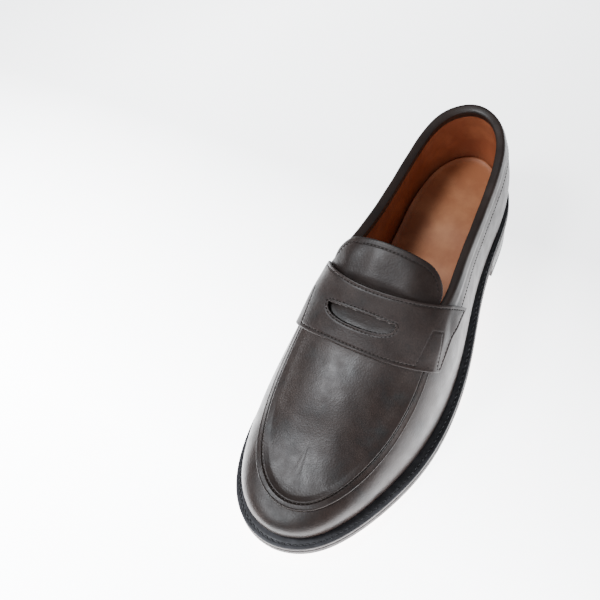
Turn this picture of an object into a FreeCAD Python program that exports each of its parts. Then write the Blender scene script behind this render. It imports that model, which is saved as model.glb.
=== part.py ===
"""Penny loafer, wearer's left shoe, welted on a leather sole with a stacked heel.

Frame: millimetres, +Z up, ground at Z = 0, toe towards -Y, outer (lateral) side of the foot at +X.
Shape tables are written against the station: the distance forward from the back of the heel.
"""
import FreeCAD, Part
import math
import os

Vector = FreeCAD.Vector

# ---- driving dimensions ------------------------------------------------------------------------
STATION_AT_ORIGIN = 150.3      # the station at Y = 0: halfway from the heel's bulge to the sole's toe
OUTSOLE_THICKNESS = 5.5
WELT_THICKNESS = 3.0
INSOLE_THICKNESS = 3.0
SOCK_THICKNESS = 1.0
CUSHION_THICKNESS = 2.0
UPPER_LEATHER = 1.4            # side wall of the upper
STAY_LEATHER = 0.8             # counter, puff and side stays, between the upper and its lining
LINING_LEATHER = 1.0
APRON_LEATHER = 1.3
STRAP_LEATHER = 1.8
BINDING_LEATHER = 1.0
BACK_STRIP_LEATHER = 1.1
BACK_SEAM_GAP = 0.0002         # half the gap at the back seam, as a share of the feather line
SKIRT_UNDERLAP = 0.075         # how far the side wall runs under the apron, as a share of a rib
STRIP_HALF_WIDTH = (0.0225, 0.0155)  # back strip at the welt and the collar, shares of the feather line
STRIP_ROW_INSET = 0.0025

# Feather line, where the upper meets the welt: (station, distance from the centre line).
HEEL_BACK = 3.0
TOE_TIP = (296.3, -4.0)
MEDIAL_FEATHER = [(12, 18.5), (36, 29), (75, 31), (115, 31.5), (155, 39), (190, 48), (222, 50.3),
                  (252, 45.4), (276, 34.9), (291, 20.2)]
LATERAL_FEATHER = [(12, 18.2), (36, 30.7), (72, 35), (110, 40), (150, 48.3), (185, 51), (215, 48.5),
                   (246, 41), (272, 30.5), (291, 14.6)]
MEDIAL_WELT = [(0, 2.0), (90, 3.5), (170, 5.2), (230, 5.6), (265, 5.7), (300, 6.7)]
LATERAL_WELT = [(0, 2.0), (90, 4.0), (125, 5.2), (170, 5.9), (210, 7.1), (240, 7.1), (270, 6.6), (300, 6.7)]
FEATHER_HEIGHT = [(0, 33), (50, 31.3), (100, 25.5), (140, 15.7), (175, 9.5), (200, 8.5), (225, 9.5),
                  (260, 13.8), (298, 19.3)]

# Crest line over the instep and its shape below, by station.
CREST_HEIGHT = [(40, 119), (100, 116.5), (140, 100.4), (160, 89.5), (180, 75), (200, 64), (220, 56.5),
                (240, 46.5)]
CREST_OFFSET = [(40, 0.8), (120, -3), (190, -2.5), (240, -3.1)]
WALL_LEAN = [(0, 13.5), (50, 6.5), (110, 7.8), (160, 6.7), (220, 5.9), (298, 6.6)]
WALL_RISE = [(0, 0.34), (50, 0.32), (110, 0.47), (160, 0.84), (220, 0.58), (298, 0.74)]
SHOULDER_WIDTH = [(0, 0.87), (50, 0.73), (110, 0.79), (160, 0.86), (220, 0.69), (298, 0.68)]
CREST_ENDS = (62.0, 216.0)     # ribs outside these stations gather towards the ends of the crest
CREST_GATHER = 24.0

# Foot opening: height of its edge by station.
LATERAL_TOPLINE = [(3, 89.5), (40, 83), (80, 77), (120, 80.5), (160, 82.5)]
MEDIAL_TOPLINE = [(3, 89.5), (40, 82.3), (80, 79.2), (120, 80.7), (160, 84.9)]
COLLAR_DEPTH = 15.0
COLLAR_TURN_IN = 8.0
COLLAR_FRONT = 153.0

# Apron seam: share of the rib below the seam, by side and station.
SEAM_SHARE = [(-1, 158, 0.55), (-1, 215, 0.505), (-1, 255, 0.505), (0, 0, 0.508), (1, 289, 0.475),
              (1, 269, 0.441), (1, 246, 0.425), (1, 215, 0.43), (1, 158, 0.51)]
APRON_REAR = 163.0
APRON_SINK = 1.1               # how far its middle lies below its edge

# Saddle strap: edge stations by girth share (-1 medial feather, 0 crest, +1 lateral feather).
STRAP_REAR = [(-0.67, 141), (-0.36, 153.7), (0, 160.2), (0.27, 157.2), (0.43, 152), (0.67, 138.4)]
STRAP_FRONT = [(-0.62, 180.2), (-0.45, 186.4), (-0.2, 190.7), (0.2, 191), (0.42, 186), (0.62, 178.7)]
STRAP_END = 0.62               # girth of the strap's ends
STRAP_FLARE = 0.048            # and how much further their rear corners reach
STRAP_CLEARANCE = 0.12
STRAP_DROP = 0.1               # rib share over which the strap steps down past the apron's edge
SLOT_STATION = 176.5
SLOT_OFFSET = 1.5
SLOT_LENGTH = 44.0
SLOT_WIDTH = 8.4

# Stitched box near each end of the strap: places (across, forward), each 0 to 1, on the lateral side.
STRAP_ROW_INSET = (0.015, 0.06)
STRAP_BOX = [(0.957, 0.94), (0.9, 0.42), (0.84, 0.4), (0.822, 0.94)]

TONGUE_TOP = 135.7
TONGUE_FRONT = 166.0
TONGUE_HALF_WIDTH = 0.435      # share of the girth
TONGUE_CORNER = (0.17, 13.0)   # width in girth and depth in station of its rounded corners
CORNER_FULLNESS = 0.97         # 1 would turn the corner's outline right round to the tongue's side
TONGUE_LENGTHWAYS = 40.0       # station that matches a whole girth, where a row or layer is inset
TONGUE_TAPER = (151.0, 162.0, 0.3)   # it narrows between these stations to this half width
TONGUE_SINK = 0.15             # its outer face lies this far below the line of the upper
TONGUE_RISE = (0.7, 136.0, 158.0)    # lift of its free end, and the stations over which that fades
MEDIAL_RISE = (3.3, 140.0, 158.0)    # further lift of its medial side, and where that fades
MEDIAL_SPREAD = (0.07, 0.47)   # shares of the girth between which the medial side rises
TONGUE_DIP = (1.0, 155.0, 161.0)     # how far it dips to pass under the apron, and where
TONGUE_LEATHER = 1.2
TONGUE_BACKING = 0.8
LAYER_GAP = 0.03               # between layers that lie on one another

# Heel.
HEEL_BREAST = 69.0
TOP_PIECE_THICKNESS = 6.0
LIFT_THICKNESS = 5.6
HEEL_TAPER = 2.5               # the heel's foot is this much smaller all round than its seat
BREAST_HOLLOW = (170.0, 3.0)   # radius and depth of the hollow in the heel's front face
NAIL_RADIUS = 0.9
NAIL_PLACES = [(0, 14), (-14, 22), (15, 22), (-18, 40), (19, 40), (-18, 58), (20, 58)]

THREAD_RADIUS = 0.35
UPPER_STITCH = (3.0, 2.2)      # pitch and visible length
SOLE_STITCH = (4.0, 3.0)
INSEAM_STITCH = (8.0, 5.5)


# ---- curves by formula -------------------------------------------------------------------------
def second_slopes(xs, ys):
    """Second derivatives of the natural cubic spline through the points."""
    count = len(xs)
    lower = [0.0] * count
    slopes = [0.0] * count
    for i in range(1, count - 1):
        share = (xs[i] - xs[i - 1]) / (xs[i + 1] - xs[i - 1])
        pivot = share * slopes[i - 1] + 2.0
        slopes[i] = (share - 1.0) / pivot
        step = (ys[i + 1] - ys[i]) / (xs[i + 1] - xs[i]) - (ys[i] - ys[i - 1]) / (xs[i] - xs[i - 1])
        lower[i] = (6.0 * step / (xs[i + 1] - xs[i - 1]) - share * lower[i - 1]) / pivot
    for i in range(count - 2, -1, -1):
        slopes[i] = slopes[i] * slopes[i + 1] + lower[i]
    return slopes


class Spline:
    """A natural cubic spline through (x, y) points, held level beyond its ends."""

    def __init__(self, points):
        self.xs = [float(p[0]) for p in points]
        self.ys = [float(p[1]) for p in points]
        self.second = second_slopes(self.xs, self.ys)

    def __call__(self, x):
        x = min(max(x, self.xs[0]), self.xs[-1])
        i = 0
        while i < len(self.xs) - 2 and x > self.xs[i + 1]:
            i += 1
        width = self.xs[i + 1] - self.xs[i]
        a = (self.xs[i + 1] - x) / width
        b = 1.0 - a
        bend = (a ** 3 - a) * self.second[i] + (b ** 3 - b) * self.second[i + 1]
        return a * self.ys[i] + b * self.ys[i + 1] + bend * width * width / 6.0

    def slope(self, x):
        return (self(x + 0.05) - self(x - 0.05)) / 0.1


def smooth_step(low, high, x):
    share = min(max((x - low) / (high - low), 0.0), 1.0)
    return share * share * (3.0 - 2.0 * share)


def fading(drop, x):
    """A height that falls smoothly to nothing: drop holds the height and where it starts and ends."""
    height, start, end = drop
    return height * (1.0 - smooth_step(start, end, x))


def mix(a, b, share):
    return a + (b - a) * share


def spread(low, high, count):
    return [mix(low, high, i / (count - 1.0)) for i in range(count)]


# ---- the last: the smooth outer surface of the upper -------------------------------------------
class Last:
    """Ribs rise from the feather line to the crest; t runs round the feather line from the back of
    the heel by the medial side and the toe, and rise runs up each rib from 0 to 1."""

    def __init__(self):
        loop = [(0.0, HEEL_BACK)]
        loop += [(-x, s) for s, x in MEDIAL_FEATHER]
        loop += [(TOE_TIP[1], TOE_TIP[0])]
        loop += [(x, s) for s, x in reversed(LATERAL_FEATHER)]
        lengths = [math.dist(loop[i], loop[(i + 1) % len(loop)]) for i in range(len(loop))]
        total = sum(lengths)
        places = []
        travelled = -total
        for _ in range(3):
            for point, length in zip(loop, lengths):
                places.append((travelled / total, point))
                travelled += length
        self.loop_x = Spline([(t, p[0]) for t, p in places])
        self.loop_s = Spline([(t, p[1]) for t, p in places])
        self.toe = self.foremost(places[len(loop) + len(MEDIAL_FEATHER) + 1][0])
        self.height = Spline(FEATHER_HEIGHT)
        self.crest = Spline(CREST_HEIGHT)
        self.crest_x = Spline(CREST_OFFSET)
        self.lean = Spline(WALL_LEAN)
        self.rise = Spline(WALL_RISE)
        self.shoulder = Spline(SHOULDER_WIDTH)
        self.medial_welt = Spline(MEDIAL_WELT)
        self.lateral_welt = Spline(LATERAL_WELT)
        self.lateral_top = Spline(LATERAL_TOPLINE)
        self.medial_top = Spline(MEDIAL_TOPLINE)
        self.seam = Spline([(self.t_at(s, side), share) for side, s, share in SEAM_SHARE])

    def foremost(self, t):
        """Where the feather line reaches furthest forward, searched from near the toe's tip."""
        step = 0.004
        while step > 1e-7:
            t = max((t - step, t, t + step), key=self.loop_s)
            step /= 2.0
        return t

    def feather(self, t):
        """Plan point of the feather line and its outward direction."""
        t = t % 1.0
        step = 0.0005
        dx = self.loop_x(t + step) - self.loop_x(t - step)
        ds = self.loop_s(t + step) - self.loop_s(t - step)
        size = math.hypot(dx, ds)
        return self.loop_x(t), self.loop_s(t), -ds / size, dx / size

    def t_at(self, station, side):
        """Where the feather line passes the station, on the medial (-1) or lateral (+1) side."""
        if side == 0:
            return self.toe
        low, high = (0.0, self.toe) if side < 0 else (1.0, self.toe)
        for _ in range(28):
            middle = (low + high) / 2.0
            if self.loop_s(middle) < station:
                low = middle
            else:
                high = middle
        return (low + high) / 2.0

    def welt_width(self, t):
        table = self.medial_welt if t % 1.0 < self.toe else self.lateral_welt
        return table(self.loop_s(t % 1.0))

    def crest_station(self, station):
        low, high = CREST_ENDS
        if station > high:
            return high + CREST_GATHER * (1.0 - math.exp((high - station) / CREST_GATHER))
        if station < low:
            return low - CREST_GATHER * (1.0 - math.exp((station - low) / CREST_GATHER))
        return station

    def point(self, t, share):
        """Point (x, station, z) on the surface, a cubic rib from the feather line to the crest."""
        x, s, nx, ns = self.feather(t)
        z = self.height(s)
        crest_s = self.crest_station(s)
        crest_x = self.crest_x(crest_s)
        crest_z = self.crest(crest_s)
        lean = self.lean(s)
        width = self.shoulder(s)
        shoulder_s = mix(crest_s, s, width)
        ribs = ((x, s, z),
                (x + nx * lean, s + ns * lean, mix(z, crest_z, self.rise(s))),
                (mix(crest_x, x, width), shoulder_s,
                 crest_z + self.crest.slope(crest_s) * (shoulder_s - crest_s)),
                (crest_x, crest_s, crest_z))
        rest = 1.0 - share
        weights = (rest ** 3, 3 * share * rest ** 2, 3 * share ** 2 * rest, share ** 3)
        return tuple(sum(w * p[k] for w, p in zip(weights, ribs)) for k in range(3))

    def directions(self, t, share):
        """Outward normal and up-the-rib direction."""
        step = 0.002
        low = max(share - step, -0.05)
        high = min(share + step, 1.0)
        up = [b - a for a, b in zip(self.point(t, low), self.point(t, high))]
        if share > 0.999:
            slope = self.crest.slope(self.crest_station(self.feather(t)[1]))
            normal = [0.0, -slope, 1.0]
        else:
            along = [b - a for a, b in zip(self.point(t - step, share), self.point(t + step, share))]
            normal = [up[1] * along[2] - up[2] * along[1],
                      up[2] * along[0] - up[0] * along[2],
                      up[0] * along[1] - up[1] * along[0]]
        up_size = math.hypot(*up)
        size = math.hypot(*normal)
        return [n / size for n in normal], [u / up_size for u in up]

    def place(self, t, share, offset=0.0, raised=0.0):
        """Model point on the surface, moved out by offset and up the rib by raised."""
        base = self.point(t, share)
        normal, up = self.directions(t, share)
        x, s, z = (b + offset * n + raised * u for b, n, u in zip(base, normal, up))
        return Vector(x, STATION_AT_ORIGIN - s, z)

    def girth_place(self, station, girth, offset=0.0):
        """The same by station and girth: -1 medial feather line, 0 crest, +1 lateral feather line."""
        side = -1 if girth < 0 else 1
        return self.place(self.t_at(station, side), 1.0 - abs(girth), offset)

    def share_at_height(self, t, z):
        low, high = 0.0, 0.9
        for _ in range(24):
            middle = (low + high) / 2.0
            if self.point(t, middle)[2] < z:
                low = middle
            else:
                high = middle
        return (low + high) / 2.0

    def topline_share(self, t, depth=0.0):
        """Rib share of the foot opening's edge, or of a line that many millimetres below it."""
        t = t % 1.0
        top = self.medial_top if t < self.toe else self.lateral_top
        return self.share_at_height(t, top(self.loop_s(t)) - depth)


LAST = Last()


# ---- solids from grids of points ---------------------------------------------------------------
def curve_through(points):
    curve = Part.BSplineCurve()
    curve.interpolate(Points=points, Parameters=spread(0.0, 1.0, len(points)))
    return curve


def surface_through(grid):
    """Bicubic surface through every point of the grid; borders depend on their own points alone."""
    rows = [curve_through(row) for row in grid]
    columns = [curve_through(list(column)) for column in zip(*[row.getPoles() for row in rows])]
    poles = [list(row) for row in zip(*[column.getPoles() for column in columns])]
    surface = Part.BSplineSurface()
    surface.buildFromPolesMultsKnots(poles, columns[0].getMultiplicities(), rows[0].getMultiplicities(),
                                     columns[0].getKnots(), rows[0].getKnots(), False, False, 3, 3)
    return surface


def wall_between(edge, other):
    """Straight wall between two border curves with the same knots."""
    wall = Part.BSplineSurface()
    wall.buildFromPolesMultsKnots([edge.getPoles(), other.getPoles()], [2, 2], edge.getMultiplicities(),
                                  [0.0, 1.0], edge.getKnots(), False, False, 1, 3)
    return wall.toShape()


def sewn_solid(faces):
    shell = Part.Shell(faces)
    shell.sewShape()
    solid = Part.Solid(Part.Shell(shell.Faces))
    if solid.Volume < 0:
        solid.reverse()
    return solid


def sheet_faces(outer_grid, inner_grid, sides=("first", "last", "start", "end")):
    """Faces of a sheet between two grids, with a wall along each named side."""
    outer = surface_through(outer_grid)
    inner = surface_through(inner_grid)
    faces = [outer.toShape(), inner.toShape()]
    borders = {"first": lambda s: s.uIso(0.0), "last": lambda s: s.uIso(1.0),
               "start": lambda s: s.vIso(0.0), "end": lambda s: s.vIso(1.0)}
    for side in sides:
        faces.append(wall_between(borders[side](outer), borders[side](inner)))
    return faces


def sheet(outer_grid, inner_grid):
    return sewn_solid(sheet_faces(outer_grid, inner_grid))


def rib_sheet(t_values, low, high, outer, inner, columns=12):
    """Sheet along the feather line between the rib shares low(t) and high(t)."""
    def grid(offset):
        return [[LAST.place(t, share, offset) for share in spread(low(t), high(t), columns)]
                for t in t_values]
    return sheet(grid(outer), grid(inner))


def cap_sheet(rear_station, edge_share, outer, inner, rows=34, columns=12):
    """Sheet over the toe and instep, as two halves that share the crest and the toe's rib.
    outer and inner give the offset by rib share above the edge, 0 at the edge to 1 at the crest."""
    faces = []
    medial = spread(LAST.t_at(rear_station, -1), LAST.toe, rows)
    stations = [LAST.loop_s(t) for t in medial]
    lateral = [LAST.t_at(station, 1) for station in stations[:-1]] + [LAST.toe]
    for t_values in (medial, lateral):

        def grid(offset):
            return [[LAST.place(t, mix(edge_share(t), 1.0, rise), offset(rise))
                     for rise in spread(0.0, 1.0, columns)] for t in t_values]
        faces += sheet_faces(grid(outer), grid(inner), ("first", "start"))
    return sewn_solid(faces)


def around_heel(station, count):
    """t values from the lateral station back round the heel to the medial one."""
    return spread(LAST.t_at(station, 1) - 1.0, LAST.t_at(station, -1), count)


# ---- solids from the plan outline --------------------------------------------------------------
def outline_points(inset, count=84, grow=0.0):
    """Plan points round the feather line, moved in by inset, or out by grow times the welt."""
    points = []
    for i in range(count):
        t = i / float(count)
        x, s, nx, ns = LAST.feather(t)
        out = grow * LAST.welt_width(t) - inset
        points.append((x + nx * out, s + ns * out))
    return points


def outline_prism(inset, grow=0.0):
    points = [Vector(x, STATION_AT_ORIGIN - s, -5.0) for x, s in outline_points(inset, grow=grow)]
    curve = Part.BSplineCurve()
    curve.interpolate(Points=points, PeriodicFlag=True)
    return Part.Face(Part.Wire(curve.toShape())).extrude(Vector(0, 0, 80.0))


def height_slab(low, high, start=-8.0, end=312.0):
    """Slab across the shoe between two heights given by station."""
    def edge(height):
        return curve_through([Vector(-80.0, STATION_AT_ORIGIN - s, height(s))
                              for s in spread(start, end, 33)]).toShape()
    bottom = edge(low)
    top = edge(high)
    joins = [Part.makeLine(bottom.valueAt(p), top.valueAt(q)) for p, q in
             ((bottom.FirstParameter, top.FirstParameter), (bottom.LastParameter, top.LastParameter))]
    wire = Part.Wire(Part.__sortEdges__([bottom, joins[1], top, joins[0]]))
    return Part.Face(wire).extrude(Vector(160.0, 0, 0))


def layer(prism, low, high, start=-8.0, end=312.0):
    """One sole layer: the part of the prism between two depths from the feather line."""
    slab = height_slab(lambda s: LAST.height(s) + low, lambda s: LAST.height(s) + high, start, end)
    return single(prism.common(slab))


def single(shape):
    return shape.Solids[0] if len(shape.Solids) == 1 else shape


def plan_box(first_station, last_station):
    return Part.makeBox(200.0, last_station - first_station, 120.0,
                        Vector(-100.0, STATION_AT_ORIGIN - last_station, -10.0))


# ---- stitches ----------------------------------------------------------------------------------
def stitches(path, gauge, radius=THREAD_RADIUS):
    """Short threads laid end to end along the path, as separate solids."""
    pitch, length = gauge
    threads = []
    target = pitch / 2.0
    travelled = 0.0
    for start, end in zip(path, path[1:]):
        run = end.sub(start)
        while travelled + run.Length > target:
            at = start + run * ((target - travelled) / run.Length)
            along = Vector(run)
            along.normalize()
            threads.append(Part.makeCylinder(radius, length, at - along * (length / 2.0), along))
            target += pitch
        travelled += run.Length
    return threads


# ---- upper -------------------------------------------------------------------------------------
UPPER_INSIDE = -UPPER_LEATHER
STAY_INSIDE = UPPER_INSIDE - STAY_LEATHER
LINING_INSIDE = STAY_INSIDE - LINING_LEATHER
BINDING_RADIUS = (BINDING_LEATHER * 2.0 - LINING_INSIDE) / 2.0


def skirt_top(t):
    """Upper edge of the side wall: the foot opening at the back, the apron's underlap in front."""
    front = smooth_step(146.0, 172.0, LAST.loop_s(t % 1.0))
    under_apron = LAST.seam(t % 1.0) + SKIRT_UNDERLAP
    if front >= 1.0:
        return under_apron
    return mix(LAST.topline_share(t, BINDING_RADIUS), under_apron, front)


def skirt():
    """Side wall of the upper, in one piece from the back seam round the toe to the back seam."""
    t_values = spread(BACK_SEAM_GAP, 1.0 - BACK_SEAM_GAP, 121)
    return rib_sheet(t_values, lambda t: 0.0, skirt_top, 0.0, UPPER_INSIDE, 14)


def apron():
    """Lies over the side wall at its stitched edge and sinks level with it inside the seam."""
    def outer(rise):
        return APRON_LEATHER + 0.05 - APRON_SINK * smooth_step(0.16, 0.4, rise)
    return cap_sheet(APRON_REAR, LAST.seam, outer, lambda rise: outer(rise) - APRON_LEATHER)


def strap_edges():
    return Spline(STRAP_REAR), Spline(STRAP_FRONT)


def strap_underside(station, girth):
    """Height of the strap's underside: over the apron, over the collar, or on the side wall."""
    t = LAST.t_at(station, -1 if girth < 0 else 1)
    past_apron = LAST.seam(t) - 1.0 + abs(girth)
    over_apron = (APRON_LEATHER + 0.1) * (1.0 - smooth_step(0.0, STRAP_DROP, past_apron))
    over_collar = (BINDING_LEATHER + 0.1) * (1.0 - smooth_step(COLLAR_FRONT, COLLAR_FRONT + 8.0, station))
    return STRAP_CLEARANCE + (over_apron ** 4 + over_collar ** 4) ** 0.25


def strap_point(across, forward, offset_outer):
    """Point of the saddle strap: across runs medial to lateral, forward runs rear to front."""
    rear, front = strap_edges()
    end = STRAP_END + STRAP_FLARE * (1.0 - forward) ** 3
    girth = mix(-end, end, across)
    station = mix(rear(girth), front(girth), forward)
    return LAST.girth_place(station, girth, strap_underside(station, girth) + offset_outer)


def saddle_strap():
    across = spread(0.0, 1.0, 61)
    forward = spread(0.0, 1.0, 11)
    grids = [[[strap_point(a, f, lift) for f in forward] for a in across] for lift in (STRAP_LEATHER, 0.0)]
    strap = sheet(grids[0], grids[1])
    return single(strap.cut(slot_prism()))


def slot_frame():
    """Centre of the slot, its direction across the strap and its direction towards the toe."""
    centre = LAST.girth_place(SLOT_STATION, 0.0, 2.0)
    ahead = LAST.girth_place(SLOT_STATION + 4.0, 0.0, 2.0)
    toward_toe = ahead.sub(LAST.girth_place(SLOT_STATION - 4.0, 0.0, 2.0))
    toward_toe.normalize()
    across = Vector(1, 0, 0)
    return centre + across * SLOT_OFFSET, across, toward_toe


def slot_prism():
    """Half-moon slot: straight edge towards the heel, bowed edge towards the toe."""
    centre, across, toward_toe = slot_frame()
    normal = toward_toe.cross(across)
    half = SLOT_LENGTH / 2.0
    straight = toward_toe * (-SLOT_WIDTH / 2.0)
    left = centre + straight - across * half
    right = centre + straight + across * half
    bow = centre + toward_toe * (SLOT_WIDTH / 2.0)
    wire = Part.Wire([Part.makeLine(left, right), Part.Arc(right, bow, left).toShape()])
    wire.translate(normal * -15.0)
    return Part.Face(wire).extrude(normal * 30.0)


def tongue_place(across, forward, depth, inset=0.0):
    """Point of the tongue: across from -1 to 1, forward from its rounded rear edge to its end under
    the apron. Its free end stands off the line of the upper, over the medial collar."""
    corner, corner_depth = TONGUE_CORNER
    narrow_from, narrow_to, narrow_width = TONGUE_TAPER
    into_corner = max((abs(across) - 1.0) * TONGUE_HALF_WIDTH + corner, 0.0) / corner
    rear = TONGUE_TOP + TONGUE_LENGTHWAYS * inset
    rear += corner_depth * (1.0 - math.sqrt(1.0 - CORNER_FULLNESS * into_corner ** 2))
    station = mix(rear, TONGUE_FRONT, forward)
    taper = smooth_step(narrow_from, narrow_to, station)
    girth = across * (mix(TONGUE_HALF_WIDTH, narrow_width, taper) - inset)
    offset = fading(TONGUE_RISE, station) - TONGUE_SINK - TONGUE_DIP[0] + fading(TONGUE_DIP, station)
    offset += smooth_step(MEDIAL_SPREAD[0], MEDIAL_SPREAD[1], -girth) * fading(MEDIAL_RISE, station)
    return LAST.girth_place(station, girth, offset - depth)


def tongue_sheet(outer, inner, inset=0.0):
    def grid(depth):
        return [[tongue_place(across, forward, depth, inset) for forward in spread(0.0, 1.0, 13)]
                for across in spread(-1.0, 1.0, 29)]
    return sheet(grid(outer), grid(inner))


def tongue():
    return tongue_sheet(0.0, TONGUE_LEATHER)


def tongue_lining():
    top = TONGUE_LEATHER + LAYER_GAP
    return tongue_sheet(top, top + TONGUE_BACKING, 0.012)


def collar_binding():
    """Binding folded over the edge of the foot opening: outer band, rolled edge, inner turn-in."""
    def section(t, surface):
        outer = BINDING_LEATHER - surface
        inner = LINING_INSIDE - BINDING_LEATHER + surface
        radius = (outer - inner) / 2.0
        edge = LAST.topline_share(t, BINDING_RADIUS)
        points = [LAST.place(t, LAST.topline_share(t, depth), outer)
                  for depth in spread(COLLAR_DEPTH, BINDING_RADIUS + 1.0, 7)]
        for angle in spread(0.0, math.pi, 9):
            points.append(LAST.place(t, edge, (outer + inner) / 2.0 + radius * math.cos(angle),
                                     radius * math.sin(angle)))
        points += [LAST.place(t, LAST.topline_share(t, depth), inner)
                   for depth in spread(BINDING_RADIUS + 1.0, COLLAR_TURN_IN, 4)]
        return points
    t_values = around_heel(COLLAR_FRONT, 71)
    thickness = BINDING_LEATHER - LAYER_GAP
    return sheet([section(t, 0.0) for t in t_values], [section(t, thickness) for t in t_values])


def back_strip():
    """Strip over the back seam, flared towards the sole, from under the collar to the welt."""
    def grid(offset):
        rows = []
        for across in spread(-1.0, 1.0, 13):
            column = []
            for rise in spread(0.0, 1.0, 12):
                t = across * mix(STRIP_HALF_WIDTH[0], STRIP_HALF_WIDTH[1], rise)
                share = mix(0.012, LAST.topline_share(t, COLLAR_DEPTH + 0.4), rise)
                column.append(LAST.place(t, share, offset))
            rows.append(column)
        return rows
    return sheet(grid(BACK_STRIP_LEATHER), grid(0.05))


def quarter_lining():
    def top(t):
        front = smooth_step(118.0, 150.0, LAST.loop_s(t % 1.0))
        return LAST.topline_share(t, mix(BINDING_RADIUS + 0.6, 9.0, front))
    return rib_sheet(around_heel(164.0, 91), lambda t: 0.0, top, STAY_INSIDE, LINING_INSIDE)


def vamp_lining():
    return cap_sheet(TONGUE_FRONT + 1.5, lambda t: 0.0, lambda rise: STAY_INSIDE, lambda rise: LINING_INSIDE,
                     columns=20)


def heel_counter():
    def top(t):
        return LAST.topline_share(t, 22.0)
    return rib_sheet(around_heel(86.0, 51), lambda t: 0.01, top, UPPER_INSIDE - 0.02, STAY_INSIDE + 0.02)


def toe_puff():
    t_values = spread(LAST.t_at(238.0, -1), LAST.t_at(238.0, 1), 41)
    return rib_sheet(t_values, lambda t: 0.01, lambda t: LAST.seam(t) + 0.05,
                     UPPER_INSIDE - 0.02, STAY_INSIDE + 0.02)


def side_stay(side):
    """Reinforcing strip between the counter and the puff on one side."""
    t_values = spread(LAST.t_at(88.0, side), LAST.t_at(236.0, side), 41)

    def top(t):
        front = smooth_step(140.0, 172.0, LAST.loop_s(t))
        return mix(LAST.topline_share(t, 20.0), LAST.seam(t) - 0.05, front)
    return rib_sheet(t_values, lambda t: 0.01, top, UPPER_INSIDE - 0.02, STAY_INSIDE + 0.02)


# ---- bottom ------------------------------------------------------------------------------------
RIB_OUTER = 5.0
RIB_INNER = 8.0
SOLE_EDGE = outline_prism(0.0, grow=1.0)
INSIDE_RIB = outline_prism(RIB_INNER)
SOLE_DEPTH = -WELT_THICKNESS - OUTSOLE_THICKNESS


def insole():
    return layer(outline_prism(-LINING_INSIDE + 0.3), 0.0, INSOLE_THICKNESS)


def insole_rib():
    ring = outline_prism(RIB_OUTER).cut(INSIDE_RIB)
    return layer(ring, -WELT_THICKNESS, 0.0)


def welt_ring():
    return layer(SOLE_EDGE.cut(outline_prism(RIB_OUTER)), -WELT_THICKNESS, 0.0)


def welt():
    return single(welt_ring().common(plan_box(HEEL_BREAST - 4.0, 320.0)))


def heel_rand():
    return single(welt_ring().common(plan_box(-10.0, HEEL_BREAST - 4.0)))


def shank():
    """Spring steel strip along the waist, bedded in the cork."""
    half = 6.0
    strip = Part.makeBox(2 * half, 88.0, 60.0, Vector(-half, STATION_AT_ORIGIN - 150.0, -2.0))
    strip = strip.makeFillet(half - 0.2, [e for e in strip.Edges if abs(e.BoundBox.ZLength - 60.0) < 0.1])
    return layer(strip, -WELT_THICKNESS + 0.8, -WELT_THICKNESS + 2.2)


def cork_filler(steel):
    return single(layer(INSIDE_RIB, -WELT_THICKNESS, 0.0).cut(steel))


def outsole():
    return layer(SOLE_EDGE, SOLE_DEPTH, -WELT_THICKNESS)


def cushion_top(station):
    rise = 1.0 - smooth_step(58.0, 84.0, station)
    return LAST.height(station) + INSOLE_THICKNESS + CUSHION_THICKNESS * rise


def heel_cushion():
    slab = height_slab(lambda s: LAST.height(s) + INSOLE_THICKNESS, cushion_top, end=76.0)
    return single(outline_prism(9.0).common(slab))


def sock_liner():
    slab = height_slab(cushion_top, lambda s: cushion_top(s) + SOCK_THICKNESS)
    return single(outline_prism(-LINING_INSIDE + 1.4).common(slab))


def heel_block():
    """The whole heel: its outline narrows towards the ground and its breast is hollowed."""
    seat = height_slab(lambda s: -20.0, lambda s: LAST.height(s) + SOLE_DEPTH)
    wires = []
    for inset, z in ((HEEL_TAPER, 0.0), (0.6, 27.0)):
        points = [Vector(x, STATION_AT_ORIGIN - s, z) for x, s in outline_points(inset, grow=1.0)]
        curve = Part.BSplineCurve()
        curve.interpolate(Points=points, PeriodicFlag=True)
        wires.append(Part.Wire(curve.toShape()))
    block = Part.makeLoft(wires, True, True).common(seat).common(plan_box(-10.0, HEEL_BREAST))
    radius, depth = BREAST_HOLLOW
    hollow = Part.makeCylinder(radius, 80.0, Vector(0, STATION_AT_ORIGIN - HEEL_BREAST - radius + depth, -10.0))
    return block.cut(hollow)


def heel_nails():
    height = TOP_PIECE_THICKNESS + 3 * LIFT_THICKNESS - 1.0
    return [Part.makeCylinder(NAIL_RADIUS, height - 2.0, Vector(x, STATION_AT_ORIGIN - s, 2.0))
            for x, s in NAIL_PLACES]


def heel_layers(nails):
    """Rubber top piece at the ground and three leather lifts above it."""
    block = heel_block()
    for nail in nails:
        block = block.cut(nail)
    levels = [0.0, TOP_PIECE_THICKNESS, TOP_PIECE_THICKNESS + LIFT_THICKNESS,
              TOP_PIECE_THICKNESS + 2 * LIFT_THICKNESS, 40.0]
    names = ["top_piece", "heel_lift_lower", "heel_lift_middle", "heel_lift_upper"]
    layers = {}
    for name, low, high in zip(names, levels, levels[1:]):
        box = Part.makeBox(200.0, 200.0, high - low, Vector(-100.0, 0.0, low))
        layers[name] = single(block.common(box))
    return layers


# ---- thread ------------------------------------------------------------------------------------
def seam_path(inset):
    """Line on the apron that many rib shares inside its edge."""
    t_values = spread(LAST.t_at(182.0, -1), LAST.t_at(182.0, 1), 160)
    return [LAST.place(t, LAST.seam(t) + inset, APRON_LEATHER + THREAD_RADIUS + 0.05) for t in t_values]


def apron_stitching():
    return stitches(seam_path(0.04), UPPER_STITCH)


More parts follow.
